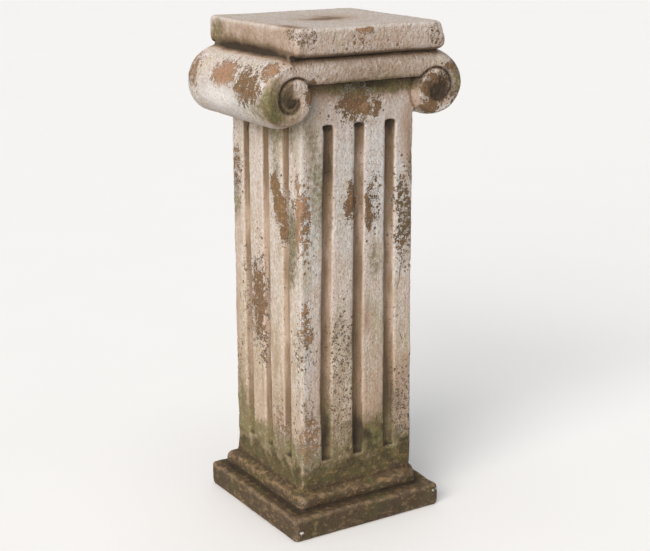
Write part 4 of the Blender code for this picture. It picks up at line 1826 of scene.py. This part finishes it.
@dataclass(frozen=True)
class RawCasting:
    """The unpainted casting that the underside shows."""

    body: Colour = (0.33, 0.27, 0.21)
    dust: Colour = (0.48, 0.42, 0.35)
    dark: Colour = (0.12, 0.09, 0.06)

    def material(self, effects: Effects) -> bpy.types.Material:
        """Builds the finish.

        Args:
            effects: The shared shader groups.

        Returns:
            The material.
        """
        material = bpy.data.materials.new("raw_casting")
        material.use_nodes = True
        graph = Graph(material.node_tree)
        shader = material.node_tree.nodes["Principled BSDF"]
        place = graph.add("ShaderNodeTexCoord").outputs["Object"]
        cloud = graph.noise(place, 24.0, 4.0, 0.6)
        grain = graph.group(effects.grain, Place=place, Sand=0.0005, Pits=0.0012, Pit_Scale=130.0)
        worn = graph.group(effects.ragged, Place=place, Field=cloud, Scale=90.0)
        colour = graph.mix(worn.outputs["Mask"], opaque(self.body), opaque(self.dust))
        colour = graph.mix(grain.outputs["Pit Mask"], colour, opaque(self.dark))
        graph.feed(shader.inputs["Base Color"], colour)
        graph.feed(shader.inputs["Roughness"], graph.plus(0.82, graph.times(cloud, 0.15)))
        bump = graph.add("ShaderNodeBump", {"Distance": 1.0, "Height": grain.outputs["Height"]})
        graph.feed(shader.inputs["Normal"], bump)
        return material


# The column


@dataclass
class Column:
    """The whole casting: its form, its age and its finishes."""

    foot: Foot = field(default_factory=Foot)
    shaft: Shaft = field(init=False)
    cap: Cap = field(init=False)
    relief: Relief = field(default_factory=Relief)
    sway: Sway = field(default_factory=Sway)
    voxel: float = 0.0015
    triangles: int = 188000
    lap: float = 0.002
    sharp_ridge: float = 0.7
    small_bites: int = 110
    bite_sizes: tuple[float, float] = (0.0025, 0.0060)
    bite_heights: tuple[float, float] = (0.62, 0.85)
    unbitten_below: float = 0.008
    wanders: tuple[tuple[float, float], ...] = ((32.0, 0.008), (110.0, 0.0035))
    flake_wander_width: float = 0.012
    stain_wander: float = 0.6
    stain_wander_height: float = 0.03
    earth_top: float = 0.078
    earth_fade: float = 0.058
    fringe_height: float = 0.036
    fringe_spread: float = 0.034
    fringe_moss: float = 0.55
    wash_and_shade_strength: float = 0.5
    seed: int = 11

    def __post_init__(self) -> None:
        """Stands the shaft on the foot and the cap on the shaft."""
        self.shaft = Shaft(self.foot)
        self.cap = Cap(self.shaft)

    def form(self) -> bpy.types.Object:
        """Joins the casting's form.

        Returns:
            The body, as one closed skin of even squares.
        """
        body = self.shaft.block(3 * self.lap)
        combine(body, self.shaft.flutes(self.cap.foot_z - self.lap), "DIFFERENCE")
        combine(body, self.cap.band(2 * self.lap), "UNION")
        combine(body, self.cap.rolls(), "UNION")
        combine(body, self.cap.abacus(), "UNION")
        combine(body, self.cap.grooves(), "DIFFERENCE")
        combine(body, self.cap.dishes(), "DIFFERENCE")
        combine(body, self.cap.eyes(), "UNION")
        LOG.info("joined form: %d faces", len(body.data.polygons))
        remesh = body.modifiers.new("skin", "REMESH")
        remesh.mode = "VOXEL"
        remesh.voxel_size = self.voxel
        body.name = "weathered_column"
        settle_modifiers(body)
        self.seat(body)
        LOG.info("remeshed skin: %d faces", len(body.data.polygons))
        return body

    def seat(self, body: bpy.types.Object) -> None:
        """Puts the lowest layer of points flat on the ground.

        Args:
            body: The skin.
        """
        points = self.points(body)
        points[points[:, 2] < 0.6 * self.voxel, 2] = 0.0
        self.place(body, points)

    def points(self, body: bpy.types.Object) -> np.ndarray:
        """Reads the places of a body's vertices.

        Args:
            body: The body.

        Returns:
            A row (x, y, z) for each vertex.
        """
        points = np.empty(len(body.data.vertices) * 3)
        body.data.vertices.foreach_get("co", points)
        return points.reshape(-1, 3)

    def normals(self, body: bpy.types.Object) -> np.ndarray:
        """Reads the normals of a body's vertices.

        Args:
            body: The body.

        Returns:
            A row (x, y, z) for each vertex.
        """
        normals = np.empty(len(body.data.vertices) * 3, dtype=np.float32)
        body.data.vertex_normals.foreach_get("vector", normals)
        return normals.reshape(-1, 3).astype(float)

    def place(self, body: bpy.types.Object, points: np.ndarray) -> None:
        """Sets the places of the body's vertices."""
        body.data.vertices.foreach_set("co", points.ravel())
        body.data.update()

    def read(self, body: bpy.types.Object, name: str) -> np.ndarray:
        """Reads a vertex attribute.

        Args:
            body: The body.
            name: The attribute's name.

        Returns:
            Its value at each vertex.
        """
        values = np.empty(len(body.data.vertices), dtype=np.float32)
        body.data.attributes[name].data.foreach_get("value", values)
        return values

    def write(self, body: bpy.types.Object, name: str, values: np.ndarray) -> None:
        """Keeps values, from 0 to 1, in a vertex attribute."""
        attribute = body.data.attributes.get(name) or body.data.attributes.new(name, "FLOAT", "POINT")
        attribute.data.foreach_set("value", np.clip(values, 0.0, 1.0).astype(np.float32))

    def chipped(self, body: bpy.types.Object) -> None:
        """Knocks the named bites and many small seeded ones out of the arrises.

        Args:
            body: The body, with its ridges marked.
        """
        points = self.points(body)
        normals = self.normals(body)
        ridge = self.read(body, "ridge")
        chance = np.random.default_rng(self.seed)
        arris = np.nonzero((ridge > self.sharp_ridge) & (points[:, 2] > self.unbitten_below))[0]
        bites = list(BITES)
        for i in chance.choice(arris, self.small_bites, replace=False):
            radius = chance.uniform(*self.bite_sizes)
            middle = points[i] + normals[i] * radius * chance.uniform(*self.bite_heights)
            bites.append(Bite(tuple(middle), radius))
        shift = np.zeros_like(points)
        for bite in bites:
            shift += bite.move(points, normals)
        shift[points[:, 2] < 0.002] = 0.0
        self.place(body, points + shift)

    def bent(self, body: bpy.types.Object) -> None:
        """Lets the casting wander and sag as the real one does, and two of its flutes stray.

        Args:
            body: The body.
        """
        points = self.points(body)
        shift = self.sway.move(points)
        for pull in DENTS + DRIFTS:
            shift += pull.move(points)
        shift[points[:, 2] < 0.001, 2] = 0.0
        self.place(body, points + shift)

    def thinned(self, body: bpy.types.Object) -> None:
        """Takes out triangles where the skin is flat.

        Args:
            body: The body.
        """
        count = sum(len(face.vertices) - 2 for face in body.data.polygons)
        thin = body.modifiers.new("thin", "DECIMATE")
        thin.ratio = min(1.0, self.triangles / count)
        settle_modifiers(body)

    def wander(self, points: np.ndarray) -> np.ndarray:
        """Finds a slow random shift, which makes the marks' ovals uneven.

        Blender offsets this noise by the clock, so the outlines differ a little from run to run.

        Args:
            points: The points.

        Returns:
            The shift of each point.
        """
        shift = np.zeros_like(points)
        for i, point in enumerate(points):
            for scale, reach in self.wanders:
                shift[i] += noise.noise_vector(Vector(point) * scale) * reach
        return shift

    def lost_paint(self, points: np.ndarray,
                   wander: np.ndarray) -> tuple[np.ndarray, np.ndarray, np.ndarray]:
        """The paint-loss field of each point, with its tone and cover.

        Args:
            points: The points.
            wander: The slow shift of each point.

        Returns:
            The field, one half at a flake's edge, and the tone and cover that go with it.
        """
        bare, tone, cover = np.zeros((3, len(points)))
        weights = np.full(len(points), 1e-9)
        for flake in FLAKES:
            moved = points + wander * min(1.0, flake.across / self.flake_wander_width)
            share = np.clip(1 - flake.distance(moved) / 2, 0, 1)
            bare = np.maximum(bare, share)
            weight = share ** 4
            weights += weight
            tone += weight * flake.tone.value
            cover += weight * flake.cover
        return bare, tone / weights, cover / weights

    def soiled(self, points: np.ndarray, normals: np.ndarray) -> np.ndarray:
        """How much brown wash and painted shade lie in flutes, creases, under ledges and in the coils.

        Args:
            points: The points.
            normals: Their normals.

        Returns:
            The wash and painted shade at each point, 1 where it is dark.
        """
        foot, shaft, cap = self.foot, self.shaft, self.cap
        z = points[:, 2]
        lean = shaft.draft / 2 / shaft.height
        face = shaft.width / 2 - lean * (z - foot.top)
        reach = np.maximum(np.abs(points[:, 0]), np.abs(points[:, 1]))
        on_shaft = (z > foot.top + shaft.flute_foot_gap) & (z < cap.foot_z)
        # Inside the flutes: brown wash with painted shade in the recess, more on the front faces, and a
        # painted shadow at their square heads.
        depth = np.where(on_shaft, np.clip((face - reach - 0.0003) / (0.4 * shaft.flute_depth), 0, 1), 0)
        low = np.clip((0.24 - z) / 0.14, 0, 1)
        high = np.clip((z - 0.47) / 0.17, 0, 1)
        end = np.exp(-((z - cap.foot_z + 0.004) / 0.007) ** 2)
        ahead = np.where(np.abs(points[:, 1]) > np.abs(points[:, 0]), 1.30, 1.15)
        soil = depth * ahead * (0.54 + 0.22 * low + 0.46 * high + 0.42 * end)
        soil += 0.33 * np.clip((0.34 - z) / 0.24, 0, 1) * (z > foot.top)
        # Faces that look down, within the shaft's width, get painted shade.
        beneath = np.clip(-normals[:, 2], 0, 1) * (z > foot.top)
        soil += beneath * np.where(np.abs(points[:, 0]) > shaft.width / 2 + 0.004, 0.0, 0.35)
        # Creases at the foot of the step and of the shaft get dirt and painted shade; the plinth's top
        # gets settled dirt.
        nook = np.exp(-((z - foot.plinth_height - 0.001) / 0.003) ** 2)
        nook *= reach < foot.step_width / 2 + 0.004
        joint = np.exp(-((z - foot.top - 0.001) / 0.003) ** 2) * (reach < shaft.width / 2 + 0.0035)
        shelf = np.clip((normals[:, 2] - 0.8) / 0.2, 0, 1) * (z < foot.plinth_height + 0.003)
        soil += 1.6 * nook + 0.9 * joint + 0.78 * shelf * (reach < foot.plinth_width / 2 - 0.006)
        # Painted shade, with wash, in the crease under the abacus and on the neck below the band.
        crease = np.exp(-((z - shaft.top + 0.001) / 0.006) ** 2) * (reach < cap.abacus_width / 2 - 0.002)
        neck = np.exp(-((z - cap.band_z + 0.006) / 0.010) ** 2)
        neck *= np.abs(points[:, 1]) < cap.face_y - 0.004
        soil += 1.2 * crease + 0.7 * neck * (np.abs(points[:, 0]) < shaft.top_half)
        return soil + self.coil_dirt_and_shading(points)

    def rubbed(self, points: np.ndarray, normals: np.ndarray) -> np.ndarray:
        """How much painted highlight the foot's round upper edges get where they face up.

        Args:
            points: The points.
            normals: Their normals.

        Returns:
            The share at each point.
        """
        slope = np.exp(-((normals[:, 2] - 0.62) / 0.28) ** 2)
        lowest, highest = self.foot.plinth_height - 0.010, self.foot.top + 0.002
        return slope * (points[:, 2] < highest) * (points[:, 2] > lowest)

    def coil_dirt_and_shading(self, points: np.ndarray) -> np.ndarray:
        """Finds how dark the volutes' faces are: painted shade along the groove, and darker inside it
        towards the eye.

        Args:
            points: The points.

        Returns:
            The wash and painted shade to add at each point, less than nought for the painted highlight on
            the coil's edge.
        """
        cap = self.cap
        across = np.abs(points[:, 0]) - cap.pole_x
        up = points[:, 2] - cap.pole_z
        at_face = np.abs(points[:, 1]) > cap.face_y - 0.012
        angle = np.arctan2(across, up) % FULL_TURN
        total = np.zeros(len(points))
        for turn in (0, 1):
            wound = angle + turn * FULL_TURN
            sunk = up + cap.eye_drop * np.maximum(wound / FULL_TURN - 1, 0)
            gap = np.hypot(across, sunk) - cap.spiral_radius(wound)
            cut = (wound > cap.hook_angle - 0.1) & (wound < cap.groove_end_angle)
            # Painted shade in the groove, and a painted highlight on the coil's edge beside it.
            total += 1.5 * cut * np.exp(-(gap / 0.0020) ** 2)
            total -= 0.35 * cut * np.exp(-((gap + 0.0048) / 0.0016) ** 2)
            if turn:
                total += 0.94 * np.clip(-gap / 0.003, 0, 1)
        eye = np.hypot(across, up + cap.eye_drop)
        return (total + 1.15 * np.exp(-(eye / 0.008) ** 2)) * at_face * (np.hypot(across, up) < cap.radius)

    def marked(self, body: bpy.types.Object) -> None:
        """Puts the places of lost paint, washes, stains, painted shade and painted highlights in vertex
        attributes.

        Args:
            body: The body.
        """
        points = self.points(body)
        wander = self.wander(points)
        for name, values in zip(("bare", "tone", "cover"), self.lost_paint(points, wander)):
            self.write(body, name, values)
        normals = self.normals(body)
        self.write(body, "rubbed", self.rubbed(points, normals))
        totals = {tint: np.zeros(len(points)) for tint in Tint}
        totals[Tint.SOIL] += self.soiled(points, normals) * self.wash_and_shade_strength
        totals[Tint.EARTH] += np.clip(1 - (points[:, 2] - self.earth_top) / self.earth_fade, 0, 1)
        fringe = (points[:, 2] - self.earth_top - self.fringe_height) / self.fringe_spread
        totals[Tint.MOSS] += self.fringe_moss * np.exp(-fringe ** 2)
        for tint, stains in STAINS.items():
            for stain in stains:
                moved = points + wander * min(self.stain_wander, stain.up / self.stain_wander_height)
                totals[tint] += stain.strength * np.exp(-stain.distance(moved) ** 2)
            self.write(body, tint.value, totals[tint])

    def build(self, effects: Effects) -> bpy.types.Object:
        """Models and dresses the column.

        Args:
            effects: The shared shader groups.

        Returns:
            The finished piece.
        """
        skin = PaintedFinish().material(effects)
        underside = RawCasting().material(effects)
        body = self.form()
        grown(self.relief.tree(skin, underside), self.relief.sizes(), body)
        LOG.info("relief: %d faces", len(body.data.polygons))
        self.chipped(body)
        self.thinned(body)
        self.marked(body)
        self.bent(body)
        body.data.shade_smooth()
        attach(body, "root")
        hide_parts("column")
        return body


# The studio


@dataclass(frozen=True)
class Sun:
    """A broad soft light, with the angle that it fills in degrees."""

    name: str
    towards: Triple
    strength: float
    softness: float
    colour: Colour = (1.0, 1.0, 1.0)


@dataclass(frozen=True)
class Studio:
    """The photograph's camera, a pale floor and soft light."""

    target: Triple = (0.0, 0.0, 0.4)
    distance: float = 2.280
    azimuth: float = math.radians(-32.5)
    elevation: float = math.radians(15.7)
    roll: float = math.radians(0.15)
    slide: tuple[float, float] = (0.002, -0.015)
    focal_pixels: float = 1400.0
    image_width: float = 650.0
    sensor: float = 36.0
    floor_width: float = 60.0
    floor_seen: Colour = (0.95, 0.95, 0.95)
    floor_worn: Colour = (0.97, 0.97, 0.97)
    floor_bounce: Colour = (0.55, 0.54, 0.53)
    suns: tuple[Sun, ...] = (
        Sun("key", (0.75, 0.45, -0.40), 3.15, 44.0, (1.0, 0.945, 0.89)),
        Sun("overhead", (0.1, 0.10, -1.0), 0.80, 50.0),
        Sun("back_fill", (-0.6, -0.7, -0.35), 0.45, 70.0))
    air: Colour = (0.97, 0.985, 1.0)
    air_light: float = 0.26
    air_seen: float = 0.94

    def camera(self) -> bpy.types.Object:
        """Sets up the camera where the photograph was taken from.

        Returns:
            The camera.
        """
        lens = bpy.data.cameras.new("camera")
        lens.sensor_width = self.sensor
        lens.lens = self.focal_pixels / self.image_width * self.sensor
        lens.clip_end = 2 * self.floor_width
        camera = bpy.data.objects.new("camera", lens)
        bpy.context.scene.collection.objects.link(camera)
        turn, rise = self.azimuth, self.elevation
        back = Vector((math.sin(turn) * math.cos(rise), -math.cos(turn) * math.cos(rise), math.sin(rise)))
        right = Vector((math.cos(turn), math.sin(turn), 0.0))
        up = back.cross(right)
        tilt = Matrix.Rotation(self.roll, 3, back)
        right, up = tilt @ right, tilt @ up
        eye = Vector(self.target) + back * self.distance + right * self.slide[0] + up * self.slide[1]
        axes = Matrix((right, up, back)).transposed().to_4x4()
        camera.matrix_world = Matrix.Translation(eye) @ axes
        bpy.context.scene.camera = camera
        return camera

    def floor(self) -> bpy.types.Object:
        """Lays the floor.

        Returns:
            The floor.
        """
        half = self.floor_width / 2
        corners = [(-half, -half, 0.0), (half, -half, 0.0), (half, half, 0.0), (-half, half, 0.0)]

        def fill(bm: bmesh.types.BMesh) -> None:
            """One square of floor, facing up."""
            bm.faces.new([bm.verts.new(corner) for corner in corners])

        floor = mesh_object("floor", fill)
        material = bpy.data.materials.new("pale_floor")
        material.use_nodes = True
        graph = Graph(material.node_tree)
        shader = material.node_tree.nodes["Principled BSDF"]
        place = graph.add("ShaderNodeTexCoord").outputs["Object"]
        shade = graph.noise(place, 3.0, 2.0)
        seen = graph.mix(shade, opaque(self.floor_seen), opaque(self.floor_worn))
        ray = graph.add("ShaderNodeLightPath").outputs["Is Camera Ray"]
        graph.feed(shader.inputs["Base Color"], graph.mix(ray, opaque(self.floor_bounce), seen))
        graph.feed(shader.inputs["Roughness"], graph.plus(0.85, graph.times(shade, 0.1)))
        floor.data.materials.append(material)
        return floor

    def hang(self, sun: Sun) -> None:
        """Hangs a sun.

        Args:
            sun: The light.
        """
        light = bpy.data.lights.new(sun.name, "SUN")
        light.energy = sun.strength
        light.color = sun.colour
        light.angle = math.radians(sun.softness)
        lamp = bpy.data.objects.new(sun.name, light)
        bpy.context.scene.collection.objects.link(lamp)
        lamp.rotation_euler = Vector(sun.towards).to_track_quat("-Z", "Y").to_euler()

    def light(self) -> None:
        """Lights the column softly from the left, with a cooler fill from all round."""
        for sun in self.suns:
            self.hang(sun)
        world = bpy.data.worlds.new("studio_air")
        world.use_nodes = True
        sky = world.node_tree.nodes["Background"]
        sky.inputs["Color"].default_value = opaque(self.air)
        graph = Graph(world.node_tree)
        ray = graph.add("ShaderNodeLightPath").outputs["Is Camera Ray"]
        seen = graph.times(ray, self.air_seen - self.air_light)
        graph.feed(sky.inputs["Strength"], graph.plus(self.air_light, seen))
        bpy.context.scene.world = world
        bpy.context.scene.view_settings.view_transform = "Standard"


def main() -> None:
    """Builds the studio and the column."""
    logging.basicConfig(level=logging.INFO, format="%(message)s")
    studio = Studio()
    studio.camera()
    studio.floor()
    studio.light()
    LOG.info("studio: camera, floor and lights")
    column = Column().build(Effects())
    LOG.info("%s: %d triangles", column.name, sum(len(face.vertices) - 2 for face in column.data.polygons))


if __name__ == "__main__":
    main()
